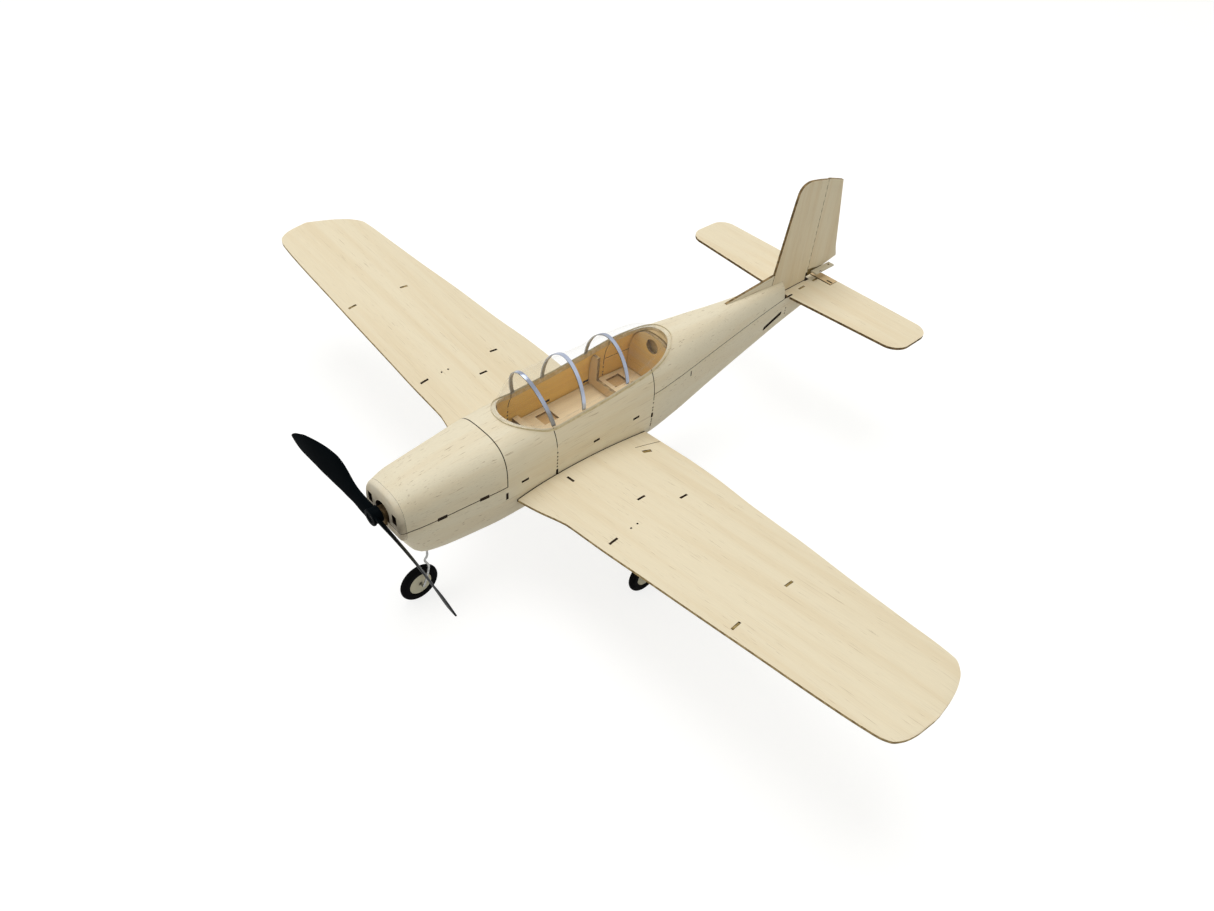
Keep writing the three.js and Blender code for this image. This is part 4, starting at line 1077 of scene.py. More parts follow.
class PLANE_OT_hull(bpy.types.Operator):
    """Bends the hull's skins round their formers"""
    bl_idname = "plane.hull"
    bl_label = "Hull skins"

    # How much wider the hatch's seam is, and half the gap where two skins meet end to end
    HATCH_GAP, JOINT_GAP = 0.15, 0.04

    # The long slot in each rear side, as along and height
    REAR_SLOT = [
        (80.7, 53.1), (81.0, 52.6), (81.6, 52.5), (95.9, 55.0), (96.4, 55.5), (96.5, 56.4), (96.2, 57.0),
        (95.6, 57.1), (81.4, 54.7), (80.9, 54.3)]

    # The upright tick on the rear seam, and the three dots of the last former
    TICK = (18.5, 19.2, 58.6, 61.4)
    TAIL_DOT_YS, TAIL_DOT_ZS = (99.6, 100.2), (54.2, 55.8, 57.4)

    # Dots and slots on the two joints of the skins, by height
    FRONT_LINE_FOOT, FRONT_DOTS, FRONT_SLOTS = 63, (60.2, 58.1, 56.2, 54.4, 52.6), ((48.2, 51.1),)
    REAR_LINE_FOOT, REAR_DOTS, REAR_SLOTS = 59.6, (58.1, 55.4, 53.9, 48.6, 47.4, 46.1, 45.0), ((49.8, 52.4),)

    # Holes in the front shell, from the inner X: one for the gear wire, then one for each wing key
    WIRE_HOLE = (2.9, 4.7, -121.9, -119.5, FLOOR_Z, 46)
    KEY_HOLE = (8, 30, -66.8, -64.6, 41, 47.9)

    def execute(self, context):
        half = settings().build.seam / MM / 2
        hatch_half = half + self.HATCH_GAP
        tight = self.JOINT_GAP
        side_cuts = boxes("side_cuts", side_cut_spans(), char())
        opening = opening_tool()
        front_line = boxes("front_line", former_line_spans(
            FRONT_JOINT_Y, self.FRONT_LINE_FOOT, self.FRONT_DOTS, self.FRONT_SLOTS), char())
        rear_line = boxes("rear_line", former_line_spans(
            REAR_JOINT_Y, self.REAR_LINE_FOOT, self.REAR_DOTS, self.REAR_SLOTS), char())

        front = skin_tube("visual_front_shell", HULL_FRONT, FRONT_JOINT_Y - tight)
        hatch_room = boxes("hatch_room", [
            full_width(-150, HATCH_REAR_Y + hatch_half, CRUTCH_Z - hatch_half, HIGH_Z)], char())
        holes = boxes("front_holes", [self.WIRE_HOLE, *both_sides(*self.KEY_HOLE)], char())
        cut(front, hatch_room, opening, side_cuts, holes, front_line)
        finish_piece(front, "fuselage", ["front_shell"])

        hatch = skin_tube("visual_hatch_skin", HULL_FRONT, HATCH_REAR_Y - half)
        below = boxes("below_hatch", [full_width(-150, -80, FLOOR_Z, CRUTCH_Z + half)], char())
        cut(hatch, below, side_cuts)
        finish_piece(hatch, "hatch", ["hatch_skin"])

        middle = skin_tube("middle_tube", FRONT_JOINT_Y + tight, REAR_JOINT_Y - tight)
        cut(middle, opening, side_cuts, front_line, rear_line)
        belly_room = belly_tool(-70, 0, -half)
        belly_inside = belly_tool(-70, 0, half)
        self.part_sides(middle, "side_skin", belly_room)
        middle.name = "visual_cockpit_belly"
        keep_inside(middle, belly_inside)
        finish_piece(middle, "fuselage", ["cockpit_belly"])
        discard(belly_room, belly_inside)

        rear = skin_tube("rear_tube", REAR_JOINT_Y + tight, HULL_REAR)
        slope = (SEAM_REAR_Z - SEAM_FRONT_Z) / (DECK_END_Y - REAR_JOINT_Y + 5)

        def seam_tool(name, lift, top):
            z0, z1 = SEAM_FRONT_Z + lift, SEAM_REAR_Z + lift
            outline = [(-12.8, z0), (DECK_END_Y, z0 + slope * 110.3), (130, z1), (130, top), (-12.8, top)]
            return solid(name, prism(outline, "X", -WIDE, WIDE), char())

        above = seam_tool("above_seam", -half, 100)
        below_seam = seam_tool("below_seam", half, 10)
        deck = duplicate(rear, "visual_rear_deck")
        behind = boxes("behind_deck", [full_width(DECK_END_Y, 130, FLOOR_Z, HIGH_Z)], char())
        cut(deck, below_seam, behind, opening, rear_line)
        finish_piece(deck, "fuselage", ["rear_deck"])

        slot = solid("rear_slot", prism(self.REAR_SLOT, "X", -WIDE, WIDE), char())
        tick = boxes("seam_tick", both_sides(8, 30, *self.TICK), char())
        dots = []
        for z in self.TAIL_DOT_ZS:
            dots += both_sides(1, 20, *self.TAIL_DOT_YS, z - 0.4, z + 0.4)
        former_dots = boxes("tail_dots", dots, char())
        cut(rear, above, slot, rear_line, tick, former_dots)
        belly_room = belly_tool(-12, 126, -half)
        belly_inside = belly_tool(-12, 126, half)
        self.part_sides(rear, "rear_side", belly_room)
        rear.name = "visual_rear_belly"
        keep_inside(rear, belly_inside)
        finish_piece(rear, "fuselage", ["rear_belly"])
        discard(side_cuts, opening, front_line, rear_line, hatch_room, holes, below)
        discard(above, below_seam, behind, slot, tick, former_dots, belly_room, belly_inside)
        self.add_side_tabs()
        return {"FINISHED"}

    def part_sides(self, whole, stem, belly_room):
        """Makes the two side skins of a length of hull."""
        for side, label in SIDES:
            skin = duplicate(whole, f"visual_{stem}_{label}")
            low, high = sorted((side * -0.01, side * -WIDE))
            other = boxes("other_side", [(low, high, HULL_FRONT, HULL_REAR + 10, FLOOR_Z, HIGH_Z)], char())
            cut(skin, belly_room)
            cut_away(skin, other)
            finish_piece(skin, "fuselage", [f"{stem}_{label}"])

    def add_side_tabs(self):
        """The dark ends of the formers and keys that fill the cuts in the skins; the dark fill of the hatch
        seam is charred edge and painted shade in the gap, and the rear slot's fill is painted shade inside
        the hull.
        """
        rear = HATCH_REAR_Y
        seam = [full_width(HULL_FRONT - 2, rear - 0.2, CRUTCH_Z - 0.7, CRUTCH_Z + 0.1),
                full_width(rear - 0.1, rear + 0.8, CRUTCH_Z - 0.2, HIGH_Z)]
        tools = (
            ("side_tabs", 0.3, boxes("tab_room", side_cut_spans(), char())),
            # Painted shade: a dark fill in the hatch seam's gap, and one in the rear slot, where the hull's
            # inside is in shade
            ("hatch_seam_shade", 0.2, boxes("seam_room", seam, char())),
            ("rear_slot_painted_shade", 0.5, solid("slot_room", prism(self.REAR_SLOT, "X", -WIDE, WIDE), char())))
        for label, sunk, tool in tools:
            band = skin_tube(label, HULL_FRONT + 0.3, HULL_REAR - 2, 0.6, sunk)
            keep_inside(band, tool)
            repaint(band, char())
            finish_piece(band, "fuselage")
            discard(tool)


class PLANE_OT_nose(bpy.types.Operator):
    """Carves the two nose blocks and the bearing"""
    bl_idname = "plane.nose"
    bl_label = "Nose"

    # The front edge's rounding, as how far behind the face and how far in
    ROUNDING = ((0, 1.6), (0.08, 1.15), (0.3, 0.8), (0.7, 0.5), (1.3, 0.2))

    # Where the nose's tools start and end along Y
    FRONT_REACH, REAR_REACH = -150, -120
    INLET = (6.7, 9.5, FRONT_REACH, REAR_REACH, 59, 63.6)
    ARCH_RADIUS, ARCH_Z, ARCH_FOOT = 4.5, 60, 50
    BEARING = (-2.5, 2.5, -136.5, -129.2, 54.2, 61)
    BEARING_ROOM = (-2.8, 2.8, FRONT_REACH, -128.9, 53.9, 90)
    CHIN_FRONT_Z, CHIN_REAR_Z = 53, 49.4

    def block(self, name):
        sides = settings().build.skin_sides
        profile = [(NOSE_FACE_Y + back, inset) for back, inset in self.ROUNDING] + [(HULL_FRONT - 0.06, 0.02)]
        rings = [[(x, y, z) for x, _, z in hull_ring(HULL_FRONT, inset, sides)] for y, inset in profile]
        rings += [hull_ring(y, SKIN + 0.25, sides) for y in spread(HULL_FRONT - 0.2, -128, 1.2)]
        return solid(name, loft(rings), nose_wood())

    def execute(self, context):
        half = settings().build.seam / MM / 2
        lower = self.block("visual_nose_block_lower")
        reach = self.FRONT_REACH, self.REAR_REACH
        top = boxes("top_half", [full_width(*reach, CRUTCH_Z - half, HIGH_Z)], char())
        room = boxes("bearing_room", [self.BEARING_ROOM], char())
        rear = HULL_FRONT - TOUCH
        chin_outline = [
            (NOSE_FACE_Y, self.CHIN_FRONT_Z), (rear, self.CHIN_REAR_Z), (rear, FLOOR_Z),
            (self.FRONT_REACH, FLOOR_Z), (self.FRONT_REACH, self.CHIN_FRONT_Z)]
        chin = solid("chin_room", prism(chin_outline, "X", -WIDE, WIDE), nose_wood())
        cut(lower, top, room, chin)
        discard(chin)
        finish_piece(lower, "fuselage", ["nose_block_lower"])
        upper = self.block("visual_hatch_nose_block")
        bottom = boxes("bottom_half", [full_width(*reach, FLOOR_Z, CRUTCH_Z + half)], char())
        inlets = boxes("inlets", both_sides(*self.INLET), char())
        radius, z = self.ARCH_RADIUS, self.ARCH_Z
        arch = [(radius, self.ARCH_FOOT), (radius, z)]
        arch += [(radius * math.cos(a), z + radius * math.sin(a)) for a in spread(0, math.pi, 0.12)[1:-1]]
        arch += [(-radius, z), (-radius, self.ARCH_FOOT)]
        hole = solid("centre_hole", prism(arch, "Y", *reach), char())
        cut(upper, bottom, inlets, hole)
        finish_piece(upper, "hatch", ["hatch_nose_block"])
        discard(top, room, bottom, inlets, hole)
        bearing = boxes("visual_nose_bearing", [self.BEARING], bearing_wood())
        bore = solid("bearing_bore", rod(0.9, "Y", -140, -120, 0, THRUST_Z), bearing_wood())
        chamfer(cut(bearing, bore), 0.3, 3)
        discard(bore)
        finish_piece(bearing, "fuselage", ["nose_bearing"])
        return {"FINISHED"}


class PLANE_OT_interior(bpy.types.Operator):
    """Gives the formers, floors and keys their wood and charred edges"""
    bl_idname = "plane.interior"
    bl_label = "Interior"

    # Colours of a cut edge, then of the floors, the two end formers and what lies behind them; the front
    # former's darker brown and the brown lining behind the rear former are painted shade
    CUT_DARK, CUT_BROWN = (0.20, 0.125, 0.05), (0.46, 0.32, 0.14)
    FLOOR, REAR_FORMER, FRONT_FORMER = (0.90, 0.76, 0.52), (0.82, 0.57, 0.21), (0.55, 0.37, 0.16)
    REAR_LINING, UNDER_FLOOR = (0.46, 0.32, 0.14), (0.66, 0.44, 0.20)

    # The floor's holes: inner and outer X, front Y and length, and how far the lining reaches past them
    HOLE_INNER_X, HOLE_OUTER_X, HOLE_YS, HOLE_LENGTH, HOLE_MARGIN = 5.5, 12.5, (-51, -9), 8, 0.3
    LINING_Z = (51.1, 51.9)

    # Two burnt lines along the floor, and the brown lining behind the rear former, which paints the shade
    # there
    MARK_X, MARK_Z, MARK_RUNS = (-6.3, -5.9), (52.9, 53.04), ((-37, -29.4), (-25.7, -8))
    REAR_LINING_YS, REAR_LINING_FOOT = (8.35, 11.8), 62

    def execute(self, context):
        nodes = frame["nodes"]
        upright = (
            "firewall", "former_hatch", "former_cockpit_front", "former_seat", "former_cockpit_rear",
            "former_tail", "former_tail_end", "hatch_former", "wing_brace",
            "wing_spar_port", "wing_spar_starboard")
        flat = ("bay_floor", "cockpit_floor", "floor_bar_1", "floor_bar_2")
        ribs = (
            "root_rib_port", "root_rib_starboard", "inner_rib_port", "inner_rib_starboard",
            "outer_rib_port", "outer_rib_starboard")
        for name in upright:
            repaint(nodes[name], self.edged("Former sheet", "Y", "X"))
        for name in flat:
            repaint(nodes[name], self.edged("Floor sheet", "Z", "Y", self.FLOOR))
        for name in ribs:
            repaint(nodes[name], self.edged("Rib sheet edged", "X", "Y"))
        former = self.edged("Rear former sheet", "Y", "X", self.REAR_FORMER)
        repaint(nodes["former_cockpit_rear"], former)
        # Painted shade: the front former is a darker brown than the others, for the shade at the cockpit's
        # front
        former = self.edged("Front former sheet", "Y", "X", self.FRONT_FORMER)
        repaint(nodes["former_cockpit_front"], former)
        # Painted shade: a brown block fills the hull behind the rear former, above its top
        shade_brown = wood("Rear lining", self.REAR_LINING, "Y", bands=0.3)
        behind = hull_solid("visual_rear_painted_shade", SKIN + 0.06, *self.REAR_LINING_YS, shade_brown)
        below = full_width(0, 20, FLOOR_Z, self.REAR_LINING_FOOT)
        cut_away(behind, boxes("lining_room", [below], shade_brown))
        finish_piece(behind, "fuselage")
        holes, margin = [], self.HOLE_MARGIN
        for y in self.HOLE_YS:
            holes += both_sides(
                self.HOLE_INNER_X - margin, self.HOLE_OUTER_X + margin,
                y - margin, y + self.HOLE_LENGTH + margin, *self.LINING_Z)
        under = boxes("visual_floor_lining", holes, wood("Under floor", self.UNDER_FLOOR, "Y", bands=0.3))
        finish_piece(under, "fuselage")
        marks = [(*self.MARK_X, *run, *self.MARK_Z) for run in self.MARK_RUNS]
        finish_piece(boxes("visual_floor_marks", marks, scorched_rim()), "fuselage")
        return {"FINISHED"}

    def edged(self, name, face_axis, along, colour=None):
        """Wood whose cut edges, found by the way they face, are charred."""
        if name in bpy.data.materials:
            return bpy.data.materials[name]
        values = settings().wood
        material, tree, shader = start_material(name)
        grain = node(tree, "ShaderNodeGroup", {
            "Place": grain_place(tree, along), "Wood": colour4(colour or values.inner),
            "Band": colour4(values.band), "Fleck": colour4(values.fleck)}, node_tree=wood_grain_group())
        place = node(tree, "ShaderNodeTexCoord").outputs
        burnt = node(tree, "ShaderNodeGroup", {
            "Place": place["Object"], "Char": colour4(self.CUT_DARK), "Scorch": colour4(self.CUT_BROWN),
            "Scorched": 1.0}, node_tree=char_and_shadow_group())
        facing = node(tree, "ShaderNodeSeparateXYZ", {0: place["Normal"]}).outputs["XYZ".index(face_axis)]
        size = node(tree, "ShaderNodeMath", {0: facing}, operation="ABSOLUTE").outputs[0]
        share = ramp(tree, size, 0.5, 0.8, 1.0, 0.0)
        colour = blend_colour(tree, share, grain.outputs["Color"], burnt.outputs["Color"])
        dress_shader(tree, shader, colour, grain, 0.2)
        return material


class PLANE_OT_canopy(bpy.types.Operator):
    """Draws the clear canopy and its three silver hoops"""
    bl_idname = "plane.canopy"
    bl_label = "Canopy"

    # A hoop's half width, and where it ends: over this X on the deck, this far above the skin
    HOOP_HALF, HOOP_FOOT_X, HOOP_FOOT_RISE = 0.9, 13.9, 0.8

    def dome(self, name, grow, finish, sides=96, depth=5):
        rings = []
        length = CANOPY_REAR_Y - CANOPY_FRONT_Y
        for t in spread(0, 1, 0.014):
            width, height = read_smooth(CANOPY_ROWS, t)
            ring = []
            for c, s in circle(sides):
                x = bulge(c, 1.85) * (CANOPY_HALF_WIDTH * width + grow)
                rise = CANOPY_HEIGHT * height + grow if s > 0 else depth
                y = CANOPY_FRONT_Y - grow + t * (length + grow * 2)
                ring.append((x, y, CANOPY_BASE_Z + bulge(s, 1.85) * rise))
            rings.append(ring)
        return solid(name, loft(rings), finish)

    def execute(self, context):
        film = clear_film()
        hull = hull_solid("hull_tool", -0.12, HULL_FRONT, HULL_REAR, film)
        shell = self.dome("visual_canopy", 0, film)
        inside = self.dome("canopy_inside", -CANOPY_WALL, film)
        whole = self.dome("canopy_whole", 0, film)
        flange = hull_solid("flange_tool", -0.12 - CANOPY_WALL, -96, 30, film)
        # The flange's cut rim takes the tan painted shadow of its edge
        reach = solid("flange_reach", prism(cockpit_outline(2.4, 0.9, 40), "Z", 66, 100), flange_edge_shadow())
        keep_inside(flange, reach)
        cut(flange, hull, whole)
        cut(shell, inside, hull)
        join(shell, flange)
        finish_piece(shell, "fuselage", ["canopy"], angle=40)
        discard(inside, whole, reach)
        outer = self.dome("hoop_outer", TOUCH + 0.25, silver_painted_reflection(), depth=40)
        inner = self.dome("hoop_inner", 0.06, strip_back(), depth=44)
        cut(outer, inner)
        for i, (y, lean) in enumerate(HOOPS):
            lower = lean * (CANOPY_BASE_Z - CRUTCH_Z) / CANOPY_HEIGHT
            head = CANOPY_BASE_Z + CANOPY_HEIGHT + 5
            upper = lean * (head - CANOPY_BASE_Z) / CANOPY_HEIGHT
            half = self.HOOP_HALF
            outline = [(y + lower - half, CRUTCH_Z), (y + lower + half, CRUTCH_Z),
                       (y - upper + half, head), (y - upper - half, head)]
            slab = solid("hoop_slab", prism(outline, "X", -WIDE, WIDE), silver_painted_reflection())
            hoop = duplicate(outer, f"visual_canopy_hoop_{i + 1}")
            keep_inside(hoop, slab)
            width, rise, _, power, _ = hull_sizes(y + lower)
            share = 1 - (self.HOOP_FOOT_X / (width * HULL_HALF_WIDTH)) ** power
            foot_z = CRUTCH_Z + rise * DECK_RISE * share ** (1 / power) + self.HOOP_FOOT_RISE
            cut_away(hoop, boxes("foot_room", [full_width(-150, 60, FLOOR_Z, foot_z)], strip_back()))
            finish_piece(hoop, "fuselage", [f"canopy_hoop_{i + 1}"])
            discard(slab)
        discard(outer, inner, hull)
        return {"FINISHED"}


class PLANE_OT_wings(bpy.types.Operator):
    """Cuts the two cambered wing sheets and the tabs in their slots"""
    bl_idname = "plane.wings"
    bl_label = "Wings"

    # The sheet's straight part ends here, and its tip is rounded in so many steps
    ROUND_X, ROUND_STEPS = 178, 30

    # The root's slanted slot: its middle, the way it runs, and half its length and width
    SLANT_X, SLANT_Y, SLANT_WAY, SLANT_LONG, SLANT_WIDE = 29.7, -22.9, (0.31, 0.951), 2.1, 0.95

    # The slit at the root, and the two small square holes
    ROOT_SLIT = ((24.5, -25.2), (24.85, -25.2), (27.35, -12), (27.0, -12))
    PIN_HOLES, PIN_HALF = ((62.3, -64.6), (62.2, -61.1)), 0.4

    def wing_sheet(self, name, side, wood_thickness=1.2, steps=36):
        rings = []
        start, count = self.ROUND_X, self.ROUND_STEPS
        xs = spread(12, start, 3.0)
        xs += [start + (HALF_SPAN - start) * math.sin(math.pi / 2 * (i + 1) / count) for i in range(count)]
        for x in xs:
            lead, trail = wing_edges(x)
            top, under = [], []
            for i in range(steps + 1):
                y = lead + (trail - lead) * (i / steps) ** 1.15
                z = wing_top(x, y)
                top.append((side * x, y, z))
                under.insert(0, (side * x, y, z - wood_thickness))
            rings.append(top + under)
        points, faces = loft(rings)
        count = len(rings[0])
        finish = [0] * len(faces)
        for run in range(len(rings) - 1):
            finish[run * count + steps] = 1
            finish[run * count + count - 1] = 1
        finish[-1] = 1
        return make(name, points, faces, [sheet_wood(), light_rim()], finish)

    def slanted(self, side, inset):
        """The slot by the wing's root, set at an angle to the others."""
        way_x, way_y = self.SLANT_WAY
        along, across = self.SLANT_LONG - inset, self.SLANT_WIDE - inset
        return [
            (side * (self.SLANT_X + way_x * along * a + way_y * across * b),
             self.SLANT_Y + way_y * along * a - way_x * across * b)
            for a, b in ((-1, -1), (-1, 1), (1, 1), (1, -1))]

    def joint_line(self, wing, label, near, far):
        """The burnt edge of the wing sheet where it meets the hull."""
        line = duplicate(wing, f"visual_wing_joint_{label}")
        keep_inside(line, far)
        cut(line, near)
        repaint(line, char())
        finish_piece(line, "fuselage")

    def execute(self, context):
        near = hull_solid("hull_near", -0.05, -100, 0, char())
        hull = hull_solid("hull_tool", -0.5, -100, 0, char())
        for side, label in SIDES:
            wing = self.wing_sheet(f"visual_wing_{label}", side)
            self.joint_line(wing, label, near, hull)
            spans, dark, pale = [], [], []
            for tabs, table, gap, sunk in ((dark, WING_SLOTS, 0.05, 0.22), (pale, TAB_SLOTS, 0.16, 0.1)):
                for x, y, long_x, long_y in table:
                    x0, x1 = side * x - long_x / 2, side * x + long_x / 2
                    y0, y1 = y - long_y / 2, y + long_y / 2
                    z = wing_top(x, y)
                    spans.append((x0, x1, y0, y1, FLOOR_Z, HIGH_Z))
                    tabs.append((x0 + gap, x1 - gap, y0 + gap, y1 - gap, z - 1.1, z - sunk))
            reach = self.PIN_HALF
            for x, y in self.PIN_HOLES:
                spans.append((side * x - reach, side * x + reach, y - reach, y + reach, FLOOR_Z, HIGH_Z))
            root = [(side * x, y) for x, y in self.ROOT_SLIT]
            root_cut = solid("root_cut", prism(root, "Z", FLOOR_Z, HIGH_Z), scorched_rim())
            slots = boxes("wing_slots", spans, char())
            slant, z = self.slanted(side, 0), wing_top(self.SLANT_X, self.SLANT_Y)
            slant_cut = solid("slant_cut", prism(slant, "Z", FLOOR_Z, HIGH_Z), char())
            cut(wing, hull, slots, root_cut, slant_cut)
            finish_piece(wing, "fuselage", [f"wing_skin_{label}"])
            tab_piece = boxes(f"wing_tabs_{label}", dark, char())
            finish_piece(chamfer(tab_piece, 0.06), "fuselage")
            tab_piece = boxes(f"wing_tab_ends_{label}", pale, tan_tab())
            finish_piece(chamfer(tab_piece, 0.06), "fuselage")
            tab_piece = prism(self.slanted(side, 0.3), "Z", z - 1.1, z - 0.2)
            tab_piece = solid(f"wing_root_tab_{label}", tab_piece, tan_tab())
            finish_piece(chamfer(tab_piece, 0.06), "fuselage")
            discard(slots, root_cut, slant_cut)
        discard(hull, near)
        return {"FINISHED"}


class PLANE_OT_tail(bpy.types.Operator):
    """Cuts the tail surfaces"""
    bl_idname = "plane.tail"
    bl_label = "Tail"

    # The stabiliser's two faces and half an upright sheet
    BOTTOM, TOP, HALF_SHEET = 63.75, 65.05, 0.65

    # The stabiliser's slots beside the fin, as X, front Y and rear Y: two with a tab, one open at the front
    TABBED_SLOTS, OPEN_SLOT = ((4.2, 108.6, 113.2), (3.6, 120.7, 124.4)), (5.2, 97.0, 102.0)
    SLOT_HALF_WIDTH = 0.55

    # The trim tab's half width and two edges, the slot in it, and how far the dark fill stays inside that
    TAB_HALF_WIDTH, TAB_FRONT, TAB_REAR = 11.7, 125.45, 131
    TAB_SLOT, FILL_INSET = (7.9, 11.3, 126.65, 127.75), 0.05

    # Burnt feet of the fin and rudder, and the dark strip in front of the trim tab
    BURNT_FEET = (
        (-0.72, 0.72, 98, 117.7, 65.05, 65.5),
        (-0.68, 0.68, 117.3, 118.04, 65.4, 69.6),
        (-0.9, 1.3, 117.2, 120.4, 65.02, 65.2),
        (-11.8, 11.8, 124.6, 124.95, 64.2, 64.85))

    # The horn, and its two holes
    HORN = (0.95, 4.65, 121, 136, 68.9, 69.7)
    HORN_HOLES = ((3.9, 6, 124.2, 125.4, FLOOR_Z, HIGH_Z), (2.2, 3.1, 133.2, 134.1, FLOOR_Z, HIGH_Z))

    # The box that the fin and rudder share, and the edges that face each other at the hinge
    FIN_FRONT, FIN_TOP, FIN_LENGTH, FIN_HEIGHT = 88.6, 123.4, 53.4, 58
    HINGE_FRONT, HINGE_REAR = 118.0, 118.6
    SLOPE_START = 0.046

    def stabiliser_outline(self):
        half, front_y, rear_y, front_radius, rear_radius, steps = 68, 103.2, 131, 9, 8, 24
        right = [(0, 98.8), (half - front_radius, front_y)]
        for i in range(1, steps + 1):
            a = math.pi / 2 * i / steps
            x = half - front_radius * (1 - math.sin(a))
            right.append((x, front_y + front_radius * (1 - math.cos(a))))
        for i in range(steps + 1):
            a = math.pi / 2 * i / steps
            x = half - rear_radius * (1 - math.cos(a))
            right.append((x, rear_y - rear_radius * (1 - math.sin(a))))
        right += [(12, rear_y), (12, 124.6)]
        return right + [(-x, y) for x, y in reversed(right[1:])]

    def execute(self, context):
        self.add_stabiliser()
        self.add_trim_tab()
        hull = hull_solid("hull_tool", -0.1, 40, 97.8, char())
        self.add_fin(hull)
        self.add_rudder()
        self.add_hinge()
        self.add_dorsal_fin(hull)
        discard(hull)
        self.add_horn()
        return {"FINISHED"}

    def add_stabiliser(self):
        """The sheet with its slots and the tabs that show in two of them."""
        bottom, top, half = self.BOTTOM, self.TOP, self.SLOT_HALF_WIDTH
        outline = self.stabiliser_outline()
        stab = sheet("visual_stabiliser", outline, "Z", bottom, top, sheet_wood(), scorched_rim())
        spans, fills = [], []
        for side in (-1, 1):
            for slot in (*self.TABBED_SLOTS, self.OPEN_SLOT):
                x, y0, y1 = slot
                low, high = sorted((side * (x - half), side * (x + half)))
                spans.append((low, high, y0, y1, FLOOR_Z, HIGH_Z))
                if slot != self.OPEN_SLOT:
                    fills.append((low + 0.1, high - 0.1, y0 + 0.1, y1 - 0.1, bottom, top - 0.12))
        cut_away(stab, boxes("stabiliser_slots", spans, char()))
        tabs = boxes("stabiliser_tabs", fills, tan_tab())
        finish_piece(chamfer(tabs, 0.06), "fuselage")
        finish_piece(stab, "fuselage", ["stabiliser"])

    def add_trim_tab(self):
        half, front, rear = self.TAB_HALF_WIDTH, self.TAB_FRONT, self.TAB_REAR
        tab = sheet("visual_trim_tab", [(-half, front), (half, front), (half, rear), (-half, rear)],
                    "Z", self.BOTTOM, self.TOP, plywood(), scorched_rim())
        cut_away(tab, boxes("tab_slot", [(*self.TAB_SLOT, FLOOR_Z, HIGH_Z)], char()))
        finish_piece(tab, "trim_tab", ["trim_tab"])

    def shared(self, along, down):
        """A point of the fin or rudder from its share of their length and height."""
        return self.FIN_FRONT + along * self.FIN_LENGTH, self.FIN_TOP - down * self.FIN_HEIGHT

    def slope_z(self):
        """The height of the fin's and rudder's top at the hinge."""
        return self.FIN_TOP - self.SLOPE_START * self.FIN_HEIGHT

    def upright(self, name, outline, finish):
        """An upright sheet on the middle plane."""
        return sheet(name, outline, "X", -self.HALF_SHEET, self.HALF_SHEET, finish, scorched_rim())

    def add_fin(self, hull):
        top_left = curve_through([(*self.shared(a, d), 0) for a, d in (
            (0.032, 0.782), (0.142, 0.121), (0.162, 0.053), (0.202, 0.017), (0.275, 0), (0.412, 0.017))], 1.0)
        foot_z = self.TOP + 0.3
        fin = [(self.FIN_FRONT, foot_z)] + [(a, min(b, self.FIN_TOP)) for a, b, _ in top_left]
        fin += [(self.HINGE_FRONT, self.slope_z()), (self.HINGE_FRONT, foot_z)]
        piece = self.upright("visual_fin", fin, fin_wood())
        cut(piece, hull)
        finish_piece(piece, "fuselage", ["fin"])

    def add_rudder(self):
        rear = [(120.6, 120.4), (131.1, 117.0)] + [self.shared(a, d) for a, d in (
            (0.876, 0.445), (0.955, 0.78), (1, 0.898), (0.878, 0.918), (0.68, 0.955))]
        foot = (self.HINGE_REAR, self.FIN_TOP - 0.97 * self.FIN_HEIGHT)
        rudder = [foot, (self.HINGE_REAR, self.slope_z())] + rear
        piece = self.upright("visual_rudder", rudder, fin_wood())
        finish_piece(piece, "rudder", ["rudder"])
        edge = [foot, rear[-1], (130, 69.2), (130, 69.7), (126, 69.9), (123.5, 70.5), (121.5, 70.9),
                (self.HINGE_REAR, 71.2)]
        proud = self.HALF_SHEET + 0.03
        piece = sheet("visual_rudder_scorch", edge, "X", -proud, proud, rudder_scorch(), char())
        finish_piece(piece, "rudder")

    def add_dorsal_fin(self, hull):
        outline = [(54.9, 75.6), (89.9, 78), (88.5, 68.2), (54.9, 68.2)]
        dorsal = self.upright("visual_dorsal_fin", outline, skin_wood())
        cut(dorsal, hull)
        finish_piece(dorsal, "fuselage", ["dorsal_fin"])

    def add_horn(self):
        horn = boxes("visual_rudder_horn", [self.HORN], horn_wood())
        cut_away(horn, boxes("horn_holes", self.HORN_HOLES, scorched_rim()))
        chamfer(horn, 0.15)
        finish_piece(horn, "rudder", ["rudder_horn"])

    def add_hinge(self):
        """The creased strip with its burnt dashes, and the burnt foot of the fin."""
        points, faces = [], []
        ys, zs = spread(118.02, 118.58, 0.08), (69.5, 120.55)
        for y in ys:
            points += [(0.6, y, zs[0]), (0.6, y, zs[1]), (-0.6, y, zs[1]), (-0.6, y, zs[0])]
        faces = [(4 * i + j, 4 * i + (j + 1) % 4, 4 * i + 4 + (j + 1) % 4, 4 * i + 4 + j)
                 for i in range(len(ys) - 1) for j in range(4)]
        faces += [(0, 1, 2, 3), tuple(len(points) - 4 + j for j in range(4))]
        strip = make("visual_hinge_strip", points, faces, [fin_wood()])
        dashes = []
        for z in spread(70.5, 119.5, 4.4):
            dashes += both_sides(0.45, 1, 118.18, 118.42, z, z + 2.4)
        cut_away(strip, boxes("hinge_dashes", dashes, scorched_rim()))
        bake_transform(strip)
        finish_piece(boxes("visual_fin_foot", self.BURNT_FEET, char()), "fuselage")
        x0, x1, y0, y1 = self.TAB_SLOT
        inset = self.FILL_INSET
        fill = (x0 + inset, x1 - inset, y0 + inset, y1 - inset, 64.0, 64.8)
        plug = boxes("visual_tab_slot_fill", [fill], char())
        finish_piece(plug, "trim_tab")


